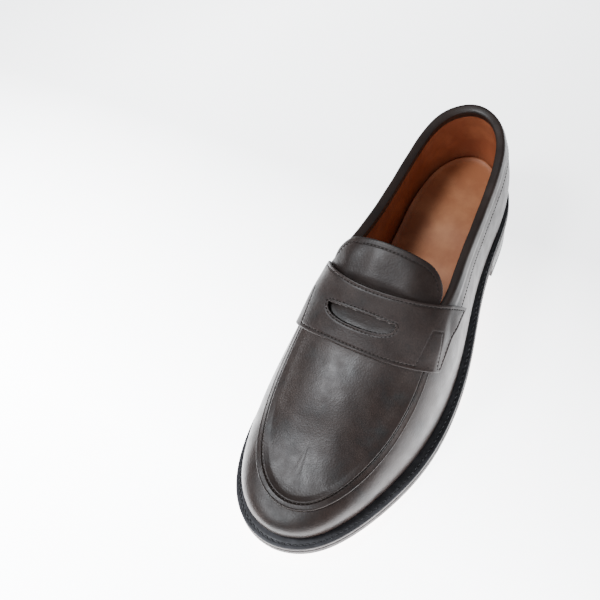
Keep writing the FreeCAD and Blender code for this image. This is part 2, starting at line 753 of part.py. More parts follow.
def strap_stitching():
    """One row round the strap, which turns in round the apron's seam near each end."""
    lift = STRAP_LEATHER + THREAD_RADIUS
    side, edge = STRAP_ROW_INSET
    lateral = [(1.0 - side, edge), (1.0 - side, 1.0 - edge)] + STRAP_BOX
    corners = lateral + [(1.0 - across, forward) for across, forward in reversed(lateral)]
    row = []
    for start, end in zip(corners, corners[1:] + corners[:1]):
        count = 4 + int(120 * math.dist(start, end))
        row += [strap_point(mix(start[0], end[0], i / count), mix(start[1], end[1], i / count), lift)
                for i in range(count)]
    return stitches(row + row[:1], UPPER_STITCH)


def tongue_stitching():
    path = [tongue_place(across, 0.08, -THREAD_RADIUS, 0.03) for across in spread(-0.96, 0.96, 60)]
    return stitches(path, UPPER_STITCH)


def collar_stitching():
    return stitches([LAST.place(t, LAST.topline_share(t, COLLAR_DEPTH - 1.6),
                                BINDING_LEATHER + THREAD_RADIUS)
                     for t in around_heel(COLLAR_FRONT - 5.0, 140)], UPPER_STITCH)


def back_strip_stitching():
    threads = []
    for side in (-1.0, 1.0):
        path = []
        for rise in spread(0.04, 0.96, 30):
            t = side * (mix(STRIP_HALF_WIDTH[0], STRIP_HALF_WIDTH[1], rise) - STRIP_ROW_INSET)
            share = mix(0.012, LAST.topline_share(t, COLLAR_DEPTH + 0.4), rise)
            path.append(LAST.place(t, share, BACK_STRIP_LEATHER + THREAD_RADIUS))
        threads += stitches(path, UPPER_STITCH)
    return threads


def sole_path(outward, height):
    """Line round the forepart from heel breast to heel breast; outward gives its distance from the
    feather line by place round it."""
    path = []
    for t in spread(LAST.t_at(HEEL_BREAST, -1), LAST.t_at(HEEL_BREAST, 1), 260):
        x, s, nx, ns = LAST.feather(t)
        out = outward(t)
        path.append(Vector(x + nx * out, STATION_AT_ORIGIN - s - ns * out, LAST.height(s) + height))
    return path


def welt_stitching():
    return stitches(sole_path(lambda t: 0.6 * LAST.welt_width(t), THREAD_RADIUS), SOLE_STITCH)


def inseam_stitching():
    """Thread that ties the upper and the welt to the insole's rib, hidden inside the shoe."""
    return stitches(sole_path(lambda t: 0.9 - RIB_OUTER, 0.45), INSEAM_STITCH, 0.4)


# ---- writing -----------------------------------------------------------------------------------
def main():
    os.makedirs("parts", exist_ok=True)
    steel = shank()
    nails = heel_nails()
    nodes = {
        "skirt": skirt(), "apron": apron(), "saddle_strap": saddle_strap(), "tongue": tongue(),
        "tongue_lining": tongue_lining(), "collar_binding": collar_binding(),
        "back_strip": back_strip(), "quarter_lining": quarter_lining(), "vamp_lining": vamp_lining(),
        "heel_counter": heel_counter(), "toe_puff": toe_puff(), "medial_stay": side_stay(-1),
        "lateral_stay": side_stay(1), "insole": insole(), "insole_rib": insole_rib(), "welt": welt(),
        "heel_rand": heel_rand(), "shank": steel, "cork_filler": cork_filler(steel),
        "outsole": outsole(), "heel_cushion": heel_cushion(), "sock_liner": sock_liner(),
        "heel_nails": Part.Compound(nails),
        "apron_stitching": Part.Compound(apron_stitching()),
        "strap_stitching": Part.Compound(strap_stitching()),
        "tongue_stitching": Part.Compound(tongue_stitching()),
        "collar_stitching": Part.Compound(collar_stitching()),
        "back_strip_stitching": Part.Compound(back_strip_stitching()),
        "welt_stitching": Part.Compound(welt_stitching()),
        "inseam_stitching": Part.Compound(inseam_stitching()),
    }
    nodes.update(heel_layers(nails))
    for name, shape in nodes.items():
        shape.exportStep("parts/" + name + ".step")
        box = shape.BoundBox
        print("%-22s %3d solids  valid %s  %8.1f mm3  z %6.1f to %6.1f" % (
            name, len(shape.Solids), shape.isValid(), shape.Volume, box.ZMin, box.ZMax))


main()
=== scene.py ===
"""Penny loafer: the visible model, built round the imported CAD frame.

The upper is shaped on one smooth surface, the last, in millimetres, with the same tables as the CAD.
A place on it is (t, share): t runs once round the feather line, where upper and welt meet, from the
back of the heel by the inner side and the toe; share runs up a rib from the feather line to the crest.
Meshes are made in millimetres in the row frame and scaled to metres when they are stored.
"""
import math

import bmesh
import bpy
import numpy as np
from mathutils import Matrix, Vector
from mathutils.kdtree import KDTree


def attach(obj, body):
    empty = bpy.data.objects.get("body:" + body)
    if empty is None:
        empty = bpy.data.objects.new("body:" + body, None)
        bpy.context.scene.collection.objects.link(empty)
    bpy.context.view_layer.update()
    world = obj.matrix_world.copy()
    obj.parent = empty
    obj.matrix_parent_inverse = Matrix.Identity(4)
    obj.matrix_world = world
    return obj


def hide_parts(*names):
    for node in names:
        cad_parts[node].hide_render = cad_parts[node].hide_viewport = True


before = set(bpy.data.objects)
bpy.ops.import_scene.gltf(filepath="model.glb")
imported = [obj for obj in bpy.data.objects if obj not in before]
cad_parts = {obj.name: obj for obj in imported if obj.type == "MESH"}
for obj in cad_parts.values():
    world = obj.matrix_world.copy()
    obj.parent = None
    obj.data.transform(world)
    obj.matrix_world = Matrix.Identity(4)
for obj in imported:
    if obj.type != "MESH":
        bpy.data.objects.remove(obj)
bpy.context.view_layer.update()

MM = 0.001

# ---- sizes shared with the CAD -----------------------------------------------------------------
STATION_AT_ORIGIN = 150.3
OUTSOLE_THICKNESS = 5.5
WELT_THICKNESS = 3.0
SOLE_DEPTH = WELT_THICKNESS + OUTSOLE_THICKNESS
SKIRT_LEATHER = 1.3
APRON_LEATHER = 1.3
HEEL_BREAST = 69.0
TOP_PIECE_THICKNESS = 6.0
LIFT_THICKNESS = 5.6
HEEL_TAPER = 2.5
HEEL_TOP = 24.0                # about where the highest lift meets the sole
HEEL_TAPER_HEIGHT = 27.0       # over which the heel widens from HEEL_TAPER to HEEL_TOP_INSET
HEEL_TOP_INSET = 0.6
LINING_OUTSIDE = -2.2
LINING_INSIDE = -3.2

HEEL_BACK = 3.0
TOE_TIP = (296.3, -4.0)
MEDIAL_FEATHER = [(12, 18.5), (36, 29), (75, 31), (115, 31.5), (155, 39), (190, 48), (222, 50.3),
                  (252, 45.4), (276, 34.9), (291, 20.2)]
LATERAL_FEATHER = [(12, 18.2), (36, 30.7), (72, 35), (110, 40), (150, 48.3), (185, 51), (215, 48.5),
                   (246, 41), (272, 30.5), (291, 14.6)]
MEDIAL_WELT = [(0, 2.0), (90, 3.5), (170, 5.2), (230, 5.6), (265, 5.7), (300, 6.7)]
LATERAL_WELT = [(0, 2.0), (90, 4.0), (125, 5.2), (170, 5.9), (210, 7.1), (240, 7.1), (270, 6.6), (300, 6.7)]
FEATHER_HEIGHT = [(0, 33), (50, 31.3), (100, 25.5), (140, 15.7), (175, 9.5), (200, 8.5), (225, 9.5),
                  (260, 13.8), (298, 19.3)]
CREST_HEIGHT = [(40, 119), (100, 116.5), (140, 100.4), (160, 89.5), (180, 75), (200, 64), (220, 56.5),
                (240, 46.5)]
CREST_OFFSET = [(40, 0.8), (120, -3), (190, -2.5), (240, -3.1)]
WALL_LEAN = [(0, 13.5), (50, 6.5), (110, 7.8), (160, 6.7), (220, 5.9), (298, 6.6)]
WALL_RISE = [(0, 0.34), (50, 0.32), (110, 0.47), (160, 0.84), (220, 0.58), (298, 0.74)]
SHOULDER_WIDTH = [(0, 0.87), (50, 0.73), (110, 0.79), (160, 0.86), (220, 0.69), (298, 0.68)]
CREST_ENDS = (62.0, 216.0)
CREST_GATHER = 24.0
LATERAL_TOPLINE = [(3, 89.5), (40, 83), (80, 77), (120, 80.5), (160, 82.5)]
MEDIAL_TOPLINE = [(3, 89.5), (40, 82.3), (80, 79.2), (120, 80.7), (160, 84.9)]
COLLAR_DEPTH = 15.0
COLLAR_FRONT = 153.0
SEAM_SHARE = [(-1, 158, 0.55), (-1, 215, 0.505), (-1, 255, 0.505), (0, 0, 0.508), (1, 289, 0.475),
              (1, 269, 0.441), (1, 246, 0.425), (1, 215, 0.43), (1, 158, 0.51)]
APRON_REAR = 163.0

STRAP_REAR = [(-0.67, 141), (-0.36, 153.7), (0, 160.2), (0.27, 157.2), (0.43, 152), (0.67, 138.4)]
STRAP_FRONT = [(-0.62, 180.2), (-0.45, 186.4), (-0.2, 190.7), (0.2, 191), (0.42, 186), (0.62, 178.7)]
STRAP_END = 0.62
STRAP_FLARE = 0.048
STRAP_CLEARANCE = 0.12
STRAP_DROP = 0.1
STRAP_OVER_APRON = 0.25        # room between the strap and the apron's outer face
STRAP_OVER_COLLAR = 1.15
COLLAR_FADE = 8.0              # length over which the strap comes down off the collar
STRAP_ROW_INSET = (0.015, 0.06)
STRAP_BOX = [(0.957, 0.94), (0.9, 0.42), (0.84, 0.4), (0.822, 0.94)]

TONGUE_TOP = 135.7
TONGUE_FRONT = 166.0
TONGUE_HALF_WIDTH = 0.435
TONGUE_CORNER = (0.17, 13.0)
CORNER_FULLNESS = 0.97
TONGUE_LENGTHWAYS = 40.0
TONGUE_TAPER = (151.0, 162.0, 0.3)
TONGUE_SINK = 0.15
TONGUE_RISE = (0.7, 136.0, 158.0)
MEDIAL_RISE = (3.3, 140.0, 158.0)
MEDIAL_SPREAD = (0.07, 0.47)
TONGUE_DIP = (1.0, 155.0, 161.0)
TONGUE_LEATHER = 1.2
TONGUE_BACKING = 0.8

# ---- sizes of what only shows ------------------------------------------------------------------
STRAP_THICKNESS = 2.0
SLOT_STATION = 176.5
SLOT_OFFSET = 1.5
SLOT_LENGTH = 44.0
SLOT_WIDTH = 8.2
SLOT_POCKET = 0.5              # how far the apron gives way under the slot
SEAM_GROOVE = 4.1              # from the apron's cut edge to its stitched groove
EDGE_STITCH = 1.8              # from a cut edge to its row of stitches
UPPER_PITCH = 2.5
WELT_PITCH = 3.6
THREAD_RADIUS = 0.26
STITCH_SINK = 0.2              # how far a row on the strap lies in the leather
BACK_STRIP_WIDTHS = (0.0225, 0.0155)   # half widths at the welt and at the collar, as shares of t
BACK_STRIP_FOOT = 0.008
LIFTED_ROW = 0.95              # height of the rows on the collar and the back strip


# ---- curves and the last -----------------------------------------------------------------------
class Spline:
    """A natural cubic spline through (x, y) points, held level beyond its ends."""

    def __init__(self, points):
        self.xs, self.ys = np.array(points, float).T
        count = len(self.xs)
        width = np.diff(self.xs)
        matrix = np.eye(count)
        target = np.zeros(count)
        for i in range(1, count - 1):
            matrix[i, i - 1:i + 2] = width[i - 1], 2 * (width[i - 1] + width[i]), width[i]
            slopes = np.diff(self.ys[i - 1:i + 2]) / width[i - 1:i + 1]
            target[i] = 6.0 * (slopes[1] - slopes[0])
        self.second = np.linalg.solve(matrix, target)

    def __call__(self, x):
        x = np.clip(x, self.xs[0], self.xs[-1])
        i = np.clip(np.searchsorted(self.xs, x) - 1, 0, len(self.xs) - 2)
        width = self.xs[i + 1] - self.xs[i]
        a = (self.xs[i + 1] - x) / width
        b = 1.0 - a
        bend = (a ** 3 - a) * self.second[i] + (b ** 3 - b) * self.second[i + 1]
        return a * self.ys[i] + b * self.ys[i + 1] + bend * width * width / 6.0

    def slope(self, x):
        return (self(x + 0.05) - self(x - 0.05)) / 0.1


def smooth_step(low, high, x):
    share = np.clip((np.asarray(x, float) - low) / (high - low), 0.0, 1.0)
    return share * share * (3.0 - 2.0 * share)


def mix(a, b, share):
    return a + (b - a) * share


def fading(drop, x):
    """A height that falls smoothly to nothing: drop holds the height and where it starts and ends."""
    height, start, end = drop
    return height * (1.0 - smooth_step(start, end, x))


def lift(base, normal, height):
    """Points moved along their normals by a height, which may be one number or one for each."""
    return base + normal * np.asarray(height)[..., None]


def humps(x, table):
    """A sum of humps, each with its height, place and half width."""
    return sum(height * bump(x - place, width) for height, place, width in table)


def unit(vectors):
    size = np.linalg.norm(vectors, axis=-1, keepdims=True)
    return vectors / np.maximum(size, 1e-12)


def bump(x, width):
    """A smooth hump of height 1 and that half width about x = 0."""
    return np.exp(-(np.asarray(x) / width) ** 2)


class Last:
    """The smooth outer surface of the upper."""

    def __init__(self):
        loop = [(0.0, HEEL_BACK)]
        loop += [(-x, s) for s, x in MEDIAL_FEATHER]
        loop += [(TOE_TIP[1], TOE_TIP[0])]
        loop += [(x, s) for s, x in reversed(LATERAL_FEATHER)]
        loop = np.array(loop, float)
        lengths = np.linalg.norm(np.roll(loop, -1, axis=0) - loop, axis=1)
        self.girth = lengths.sum()
        starts = np.concatenate([[0.0], np.cumsum(lengths)[:-1]]) / self.girth
        places = np.concatenate([starts - 1.0, starts, starts + 1.0])
        self.loop_x = Spline(np.column_stack([places, np.tile(loop[:, 0], 3)]))
        self.loop_s = Spline(np.column_stack([places, np.tile(loop[:, 1], 3)]))
        around = np.linspace(0.0, 1.0, 20001)
        forward = self.loop_s(around)
        front = int(np.argmax(forward))
        self.toe = around[front]
        self.medial = (forward[:front + 1], around[:front + 1])
        self.lateral = (forward[front:][::-1], around[front:][::-1])
        self.height = Spline(FEATHER_HEIGHT)
        self.crest = Spline(CREST_HEIGHT)
        self.crest_x = Spline(CREST_OFFSET)
        self.lean = Spline(WALL_LEAN)
        self.rise = Spline(WALL_RISE)
        self.shoulder = Spline(SHOULDER_WIDTH)
        self.medial_welt = Spline(MEDIAL_WELT)
        self.lateral_welt = Spline(LATERAL_WELT)
        self.lateral_top = Spline(LATERAL_TOPLINE)
        self.medial_top = Spline(MEDIAL_TOPLINE)
        self.seam = Spline([(self.t_at(s, side), share) for side, s, share in SEAM_SHARE])

    def feather(self, t):
        """Plan point of the feather line and its outward direction."""
        t = np.mod(t, 1.0)
        step = 0.0005
        dx = self.loop_x(t + step) - self.loop_x(t - step)
        ds = self.loop_s(t + step) - self.loop_s(t - step)
        size = np.hypot(dx, ds)
        return self.loop_x(t), self.loop_s(t), -ds / size, dx / size

    def t_at(self, station, side):
        """Where the feather line passes the station, on the medial (-1) or lateral (+1) side."""
        medial = np.interp(station, *self.medial)
        lateral = np.interp(station, *self.lateral)
        middle = np.where(np.asarray(side) < 0, medial, lateral)
        return np.where(np.asarray(side) == 0, self.toe, middle)

    def welt_width(self, t):
        t = np.mod(t, 1.0)
        s = self.loop_s(t)
        return np.where(t < self.toe, self.medial_welt(s), self.lateral_welt(s))

    def crest_station(self, station):
        low, high = CREST_ENDS
        ahead = high + CREST_GATHER * (1.0 - np.exp(-np.maximum(station - high, 0.0) / CREST_GATHER))
        behind = low - CREST_GATHER * (1.0 - np.exp(-np.maximum(low - station, 0.0) / CREST_GATHER))
        return np.where(station > high, ahead, np.where(station < low, behind, station))

    def point(self, t, share):
        """Points (x, station, z) on the surface: each rib is one cubic from feather line to crest."""
        t, share = np.broadcast_arrays(np.asarray(t, float), np.asarray(share, float))
        x, s, nx, ns = self.feather(t)
        z = self.height(s)
        crest_s = self.crest_station(s)
        crest_x = self.crest_x(crest_s)
        crest_z = self.crest(crest_s)
        lean = self.lean(s)
        width = self.shoulder(s)
        shoulder_s = mix(crest_s, s, width)
        shoulder_z = crest_z + self.crest.slope(crest_s) * (shoulder_s - crest_s)
        ribs = (np.stack([x, s, z], -1),
                np.stack([x + nx * lean, s + ns * lean, mix(z, crest_z, self.rise(s))], -1),
                np.stack([mix(crest_x, x, width), shoulder_s, shoulder_z], -1),
                np.stack([crest_x, crest_s, crest_z], -1))
        rest = 1.0 - share
        weights = (rest ** 3, 3 * share * rest ** 2, 3 * share ** 2 * rest, share ** 3)
        return sum(w[..., None] * p for w, p in zip(weights, ribs))

    def directions(self, t, share):
        """Outward normals and up-the-rib directions, in (x, station, z)."""
        t, share = np.broadcast_arrays(np.asarray(t, float), np.asarray(share, float))
        step = 0.002
        up = self.point(t, np.minimum(share + step, 1.0)) - self.point(t, np.maximum(share - step, -0.05))
        along = self.point(t + step, share) - self.point(t - step, share)
        normal = unit(np.cross(up, along))
        slope = self.crest.slope(self.crest_station(self.feather(t)[1]))
        crest_normal = unit(np.stack([np.zeros_like(slope), -slope, np.ones_like(slope)], -1))
        near_crest = smooth_step(0.93, 0.99, share)[..., None]
        return unit(mix(normal, crest_normal, near_crest)), unit(up)

    def place(self, t, share, offset=0.0, raised=0.0):
        """Points in the row frame on the surface, moved out by offset and up the rib by raised."""
        base = self.point(t, share)
        normal, up = self.directions(t, share)
        moved = base + np.asarray(offset)[..., None] * normal + np.asarray(raised)[..., None] * up
        return to_row(moved)

    def normal(self, t, share):
        return self.directions(t, share)[0] * np.array([1.0, -1.0, 1.0])

    def surface(self, t, share):
        """Points in the row frame on the surface, and its outward normals there."""
        return self.place(t, share), self.normal(t, share)

    def girth_surface(self, station, girth):
        return self.surface(*self.girth_t(station, girth))

    def girth_t(self, station, girth):
        return self.t_at(station, np.where(np.asarray(girth) < 0, -1, 1)), 1.0 - np.abs(girth)

    def girth_place(self, station, girth, offset=0.0):
        """By station and girth: -1 medial feather line, 0 crest, +1 lateral feather line."""
        t, share = self.girth_t(station, girth)
        return self.place(t, share, offset)

    def share_at_height(self, t, z):
        low = np.zeros_like(np.asarray(t, float))
        high = np.full_like(low, 0.9)
        for _ in range(24):
            middle = (low + high) / 2.0
            below = self.point(t, middle)[..., 2] < z
            low = np.where(below, middle, low)
            high = np.where(below, high, middle)
        return (low + high) / 2.0

    def topline_share(self, t, depth=0.0):
        """Rib share of the foot opening's edge, or of a line that many millimetres below it."""
        t = np.mod(t, 1.0)
        s = self.loop_s(t)
        top = np.where(t < self.toe, self.medial_top(s), self.lateral_top(s))
        return self.share_at_height(t, top - depth)


def to_row(points):
    """(x, station, z) to the row frame."""
    return points * np.array([1.0, -1.0, 1.0]) + np.array([0.0, STATION_AT_ORIGIN, 0.0])


LAST = Last()


def noise(points, size, seed=0):
    """Smooth three-dimensional noise of about -1 to 1, from sines in fixed directions."""
    rng = np.random.default_rng(seed)
    total = np.zeros(points.shape[:-1])
    for _ in range(9):
        direction = unit(rng.normal(size=3))
        pace = rng.uniform(0.6, 1.5) * 2.0 * math.pi / size
        phase = rng.uniform(0.0, 2.0 * math.pi, 2)
        other = unit(rng.normal(size=3))
        total += np.sin(points @ direction * pace + phase[0]) * np.cos(points @ other * pace + phase[1])
    return total / 3.0


# ---- meshes ------------------------------------------------------------------------------------
def grid_faces(rows, columns, first=0, flip=False, close_columns=False):
    around = columns if close_columns else columns - 1
    i, j = (k.ravel() for k in np.meshgrid(np.arange(rows - 1), np.arange(around), indexing="ij"))
    i2, j2 = i + 1, (j + 1) % columns
    quads = np.column_stack([i * columns + j, i2 * columns + j, i2 * columns + j2, i * columns + j2])
    return (quads[:, ::-1] if flip else quads) + first


def add_object(name, data):
    thing = bpy.data.objects.new(name, data)
    bpy.context.scene.collection.objects.link(thing)
    return thing


def mesh_object(name, points, faces, weld=True, sharp_angle=None):
    """A smooth-shaded mesh from points in millimetres, with its faces turned outward."""
    mesh = bpy.data.meshes.new(name)
    mesh.from_pydata((np.asarray(points).reshape(-1, 3) * MM).tolist(), [], [list(f) for f in faces])
    mesh.validate()
    work = bmesh.new()
    work.from_mesh(mesh)
    if weld:
        bmesh.ops.remove_doubles(work, verts=work.verts, dist=1e-6)
    bmesh.ops.recalc_face_normals(work, faces=work.faces)
    work.to_mesh(mesh)
    work.free()
    mesh.shade_smooth()
    if sharp_angle:
        mesh.set_sharp_from_angle(angle=math.radians(sharp_angle))
    return add_object(name, mesh)


def sheet_mesh(name, outer, inner, folded=False):
    """A closed sheet between two grids of the same size, walled along its borders. The last row of a
    folded grid lies back on itself and needs no wall."""
    rows, columns = outer.shape[:2]
    count = rows * columns
    faces = [grid_faces(rows, columns), grid_faces(rows, columns, count, flip=True)]
    border = np.concatenate([np.arange(columns), np.arange(1, rows) * columns + columns - 1,
                             (rows - 1) * columns + np.arange(columns - 2, -1, -1),
                             np.arange(rows - 2, 0, -1) * columns])
    ahead = np.roll(border, -1)
    wall = np.column_stack([border, ahead, ahead + count, border + count])
    if folded:
        wall = wall[np.minimum(border, ahead) < (rows - 1) * columns]
    points = np.concatenate([outer.reshape(-1, 3), inner.reshape(-1, 3)])
    return mesh_object(name, points, np.concatenate(faces + [wall]))


def stacked_mesh(name, loops, sharp_angle=None):
    """A solid swept through closed loops, one after another, and capped at both ends."""
    loops = np.asarray(loops)
    rows, columns = loops.shape[:2]
    faces = list(grid_faces(rows, columns, close_columns=True))
    faces += [range(columns), range((rows - 1) * columns, rows * columns)]
    return mesh_object(name, loops, faces, sharp_angle=sharp_angle)


def arc_lengths(path):
    steps = np.linalg.norm(np.diff(path, axis=0), axis=-1)
    return np.concatenate([[0.0], np.cumsum(steps)])


def interpolate(values, run, at):
    """Columns of values, known at the arc lengths run, at other arc lengths."""
    return np.stack([np.interp(at, run, values[:, k]) for k in range(values.shape[1])], -1)


def stitch_mesh(name, paths, pitch, length, radius=THREAD_RADIUS, sink=0.25, twist=0.0):
    """Rows of stitches: each is a short round thread whose ends dip into the leather.
    A path is (points, normals)."""
    around = 7
    lengthwise = 7
    u = np.linspace(-1.0, 1.0, lengthwise)
    angles = np.linspace(0.0, 2.0 * math.pi, around, endpoint=False)
    cosine, sine = np.cos(angles)[None, :, None], np.sin(angles)[None, :, None]
    thick = radius * np.sqrt(np.clip(1.0 - 0.75 * np.abs(u) ** 4, 0.05, 1.0))
    all_points = []
    faces = []
    for points, normals in paths:
        run = arc_lengths(points)
        count = max(int(round(run[-1] / pitch)), 1)
        for place in (np.arange(count) + 0.5) * run[-1] / count:
            where = place + u * length / 2.0
            centre = interpolate(points, run, where)
            up = unit(interpolate(normals, run, where))
            side = unit(np.cross(unit(np.gradient(centre, axis=0)), up))
            centre = centre + up * (radius * 0.45 - (sink + radius) * np.abs(u)[:, None] ** 3)
            centre = centre + side * (twist * u)[:, None]
            rings = centre[:, None] + thick[:, None, None] * (cosine * side[:, None] + sine * up[:, None])
            first = len(all_points) * lengthwise * around
            last = first + (lengthwise - 1) * around
            all_points.append(rings.reshape(-1, 3))
            faces += list(grid_faces(lengthwise, around, first, close_columns=True))
            faces += [range(first, first + around), range(last, last + around)]
    return mesh_object(name, np.concatenate(all_points), faces, weld=False)


def path_distance(points, path, spacing=0.12):
    """Distance of each point from a polyline."""
    run = arc_lengths(path)
    at = np.linspace(0.0, run[-1], int(run[-1] / spacing) + 2)
    tree = KDTree(len(at))
    for k, place in enumerate(interpolate(path, run, at)):
        tree.insert(place, k)
    tree.balance()
    near = [tree.find(place)[2] for place in points.reshape(-1, 3)]
    return np.array(near).reshape(points.shape[:-1])


def edge_drop(distance, radius):
    """How far a surface falls below its full height near a rounded edge."""
    inside = np.clip(radius - distance, 0.0, radius)
    return radius - np.sqrt(radius ** 2 - inside ** 2)


def edge_spacing(length, fine=0.3, fine_to=6.0, coarse=1.4):
    """Distances from an edge: close together near it, wider further in."""
    near = np.array([0.0, 0.08, 0.18, 0.3, 0.42, 0.6])
    fine_part = np.arange(0.9, min(fine_to, length), fine)
    rest = length - fine_part[-1]
    count = max(int(rest / coarse), 2)
    return np.concatenate([near, fine_part, fine_part[-1] + rest * np.arange(1, count + 1) / count])


# ---- materials ---------------------------------------------------------------------------------
def add_node(tree, kind, inputs, output=0, **settings):
    """Adds a shader node with its settings and inputs, and returns one of its outputs."""
    node = tree.nodes.new(kind)
    for name, value in settings.items():
        setattr(node, name, value)
    feed(tree, node, inputs)
    return node.outputs[output]


def feed(tree, node, inputs):
    """Links the inputs that are given another node's output, and sets the others."""
    for name, value in inputs.items():
        if isinstance(value, bpy.types.NodeSocket):
            tree.links.new(value, node.inputs[name])
        else:
            node.inputs[name].default_value = value


def new_material(name):
    """A material, its node tree, its shader and the output with the object's own coordinates."""
    material = bpy.data.materials.new(name)
    material.use_nodes = True
    tree = material.node_tree
    return material, tree, tree.nodes["Principled BSDF"], add_node(tree, "ShaderNodeTexCoord", {}, "Object")


def noise_node(tree, place, scale, detail=3.0, roughness=0.5):
    inputs = {"Vector": place, "Scale": scale, "Detail": detail, "Roughness": roughness}
    return add_node(tree, "ShaderNodeTexNoise", inputs, "Fac")


def colour_ramp(tree, factor, stops):
    node = tree.nodes.new("ShaderNodeValToRGB")
    while len(node.color_ramp.elements) < len(stops):
        node.color_ramp.elements.new(0.5)
    for element, (place, colour) in zip(node.color_ramp.elements, stops):
        element.position = place
        element.color = (*colour, 1.0)
    feed(tree, node, {"Fac": factor})
    return node.outputs["Color"]


def map_range(tree, factor, low, high, from_low=0.3, from_high=0.7):
    inputs = {"Value": factor, "From Min": from_low, "From Max": from_high, "To Min": low, "To Max": high}
    return add_node(tree, "ShaderNodeMapRange", inputs, "Result")


def bump_node(tree, height, strength, distance, below=None):
    inputs = {"Height": height, "Strength": strength, "Distance": distance}
    if below is not None:
        inputs["Normal"] = below
    return add_node(tree, "ShaderNodeBump", inputs, "Normal")


def leather_material(name, dark, light, roughness, grain=0.9, grain_depth=0.05, coat=0.3,
                     coat_roughness=0.2, mottle=60.0, specular=0.5, greyed=0.0):
    """Leather: mottled colour, fine pebbled grain with pores, uneven polish. grain is in mm; greyed
    is how far its darkest patches lose their colour."""
    material, tree, shader, place = new_material(name)
    cloud = noise_node(tree, place, mottle, 4.0, 0.6)
    polish = noise_node(tree, place, mottle * 2.3)
    grey = tuple(mix(c, sum(dark) / 3.0, greyed) for c in dark)
    cells = add_node(tree, "ShaderNodeTexVoronoi",
                     {"Vector": place, "Scale": 1.0 / (grain * MM), "Smoothness": 0.6}, "Distance",
                     feature="SMOOTH_F1")
    fine = noise_node(tree, place, 2.6 / (grain * MM))
    swell = noise_node(tree, place, 0.16 / (grain * MM))
    normal = bump_node(tree, swell, 0.35, 3.0 * grain_depth * MM)
    normal = bump_node(tree, cells, 0.5, grain_depth * MM, normal)
    feed(tree, shader, {
        "Base Color": colour_ramp(tree, cloud, [(0.28, grey), (0.45, dark), (0.72, light)]),
        "Roughness": map_range(tree, polish, roughness - 0.05, roughness + 0.07),
        "Normal": bump_node(tree, fine, 0.35, 0.5 * grain_depth * MM, normal),
        "Coat Weight": coat,
        "Coat Roughness": coat_roughness,
        "Specular IOR Level": specular})
    return material


def thread_material(name, dark, light):
    """Twisted waxed thread."""
    material, tree, shader, place = new_material(name)
    strands = add_node(tree, "ShaderNodeTexWave", {"Vector": place, "Scale": 900.0, "Distortion": 2.0}, "Fac")
    feed(tree, shader, {
        "Base Color": colour_ramp(tree, strands, [(0.2, dark), (0.8, light)]),
        "Normal": bump_node(tree, strands, 0.5, 0.08 * MM),
        "Roughness": 0.75,
        "Specular IOR Level": 0.25})
    return material


def edge_material(name, dark, light, roughness, coat, specular=0.3):
    """Cut edge of leather: faint layers along the sole's thickness, uneven polish, and a coat of wax
    where coat is above 0."""
    material, tree, shader, place = new_material(name)
    stretch = {"Vector": place, "Scale": (60.0, 60.0, 1400.0)}
    stretched = add_node(tree, "ShaderNodeMapping", stretch, "Vector")
    layers = noise_node(tree, stretched, 1.0, 4.0)
    wear = noise_node(tree, place, 130.0)
    feed(tree, shader, {
        "Base Color": colour_ramp(tree, layers, [(0.3, dark), (0.75, light)]),
        "Normal": bump_node(tree, layers, 0.25, 0.08 * MM),
        "Roughness": map_range(tree, wear, roughness - 0.05, roughness + 0.1),
        "Coat Weight": coat,
        "Coat Roughness": 0.18,
        "Specular IOR Level": specular})
    return material


def plain_material(name, dark, light, roughness, scale, metallic=0.0):
    """Rubber and the hidden parts: mottled colour with a little relief."""
    material, tree, shader, place = new_material(name)
    cloud = noise_node(tree, place, scale, 5.0, 0.65)
    feed(tree, shader, {
        "Base Color": colour_ramp(tree, cloud, [(0.3, dark), (0.7, light)]),
        "Normal": bump_node(tree, cloud, 0.4, 0.15 * MM),
        "Roughness": roughness,
        "Metallic": metallic})
    return material


UPPER = leather_material("upper_leather", (0.0195, 0.0114, 0.0092), (0.031, 0.0195, 0.0158),
                         0.42, 1.1, 0.11, 0.06, 0.32, specular=0.42, greyed=0.75)
# The strap and tongue share the upper's leather. This darker, less glossy copy of it is painted shade: they
# look darker only because of how the light falls on them.
SADDLE_SHADED = leather_material("saddle_leather_painted_shade", (0.0165, 0.0095, 0.0078), (0.027, 0.0165, 0.0135),
                          0.44, 1.1, 0.11, 0.05, 0.32, specular=0.33, greyed=0.6)
BINDING = leather_material("binding_leather", (0.019, 0.011, 0.0085), (0.030, 0.018, 0.014),
                           0.42, 0.8, 0.07, 0.06, 0.32, specular=0.42, greyed=0.6)
LINING = leather_material("lining_leather", (0.36, 0.105, 0.045), (0.50, 0.175, 0.08), 0.55, 0.8, 0.04,
                          0.0, 0.5, 45.0)
SOCK = leather_material("sock_leather", (0.40, 0.15, 0.065), (0.54, 0.235, 0.11), 0.5, 0.8, 0.04,
                        0.0, 0.5, 40.0)
WELT = leather_material("welt_leather", (0.040, 0.040, 0.045), (0.072, 0.072, 0.08), 0.55, 0.6, 0.05,
                        0.1, 0.35, 150.0)
SOLE_EDGE = edge_material("sole_edge", (0.014, 0.010, 0.009), (0.036, 0.026, 0.025), 0.45, 0.0,
                          specular=0.22)
SOLE_BASE = leather_material("sole_base", (0.22, 0.10, 0.05), (0.36, 0.18, 0.09), 0.5, 0.5, 0.05,
                             0.1, 0.3, 50.0)
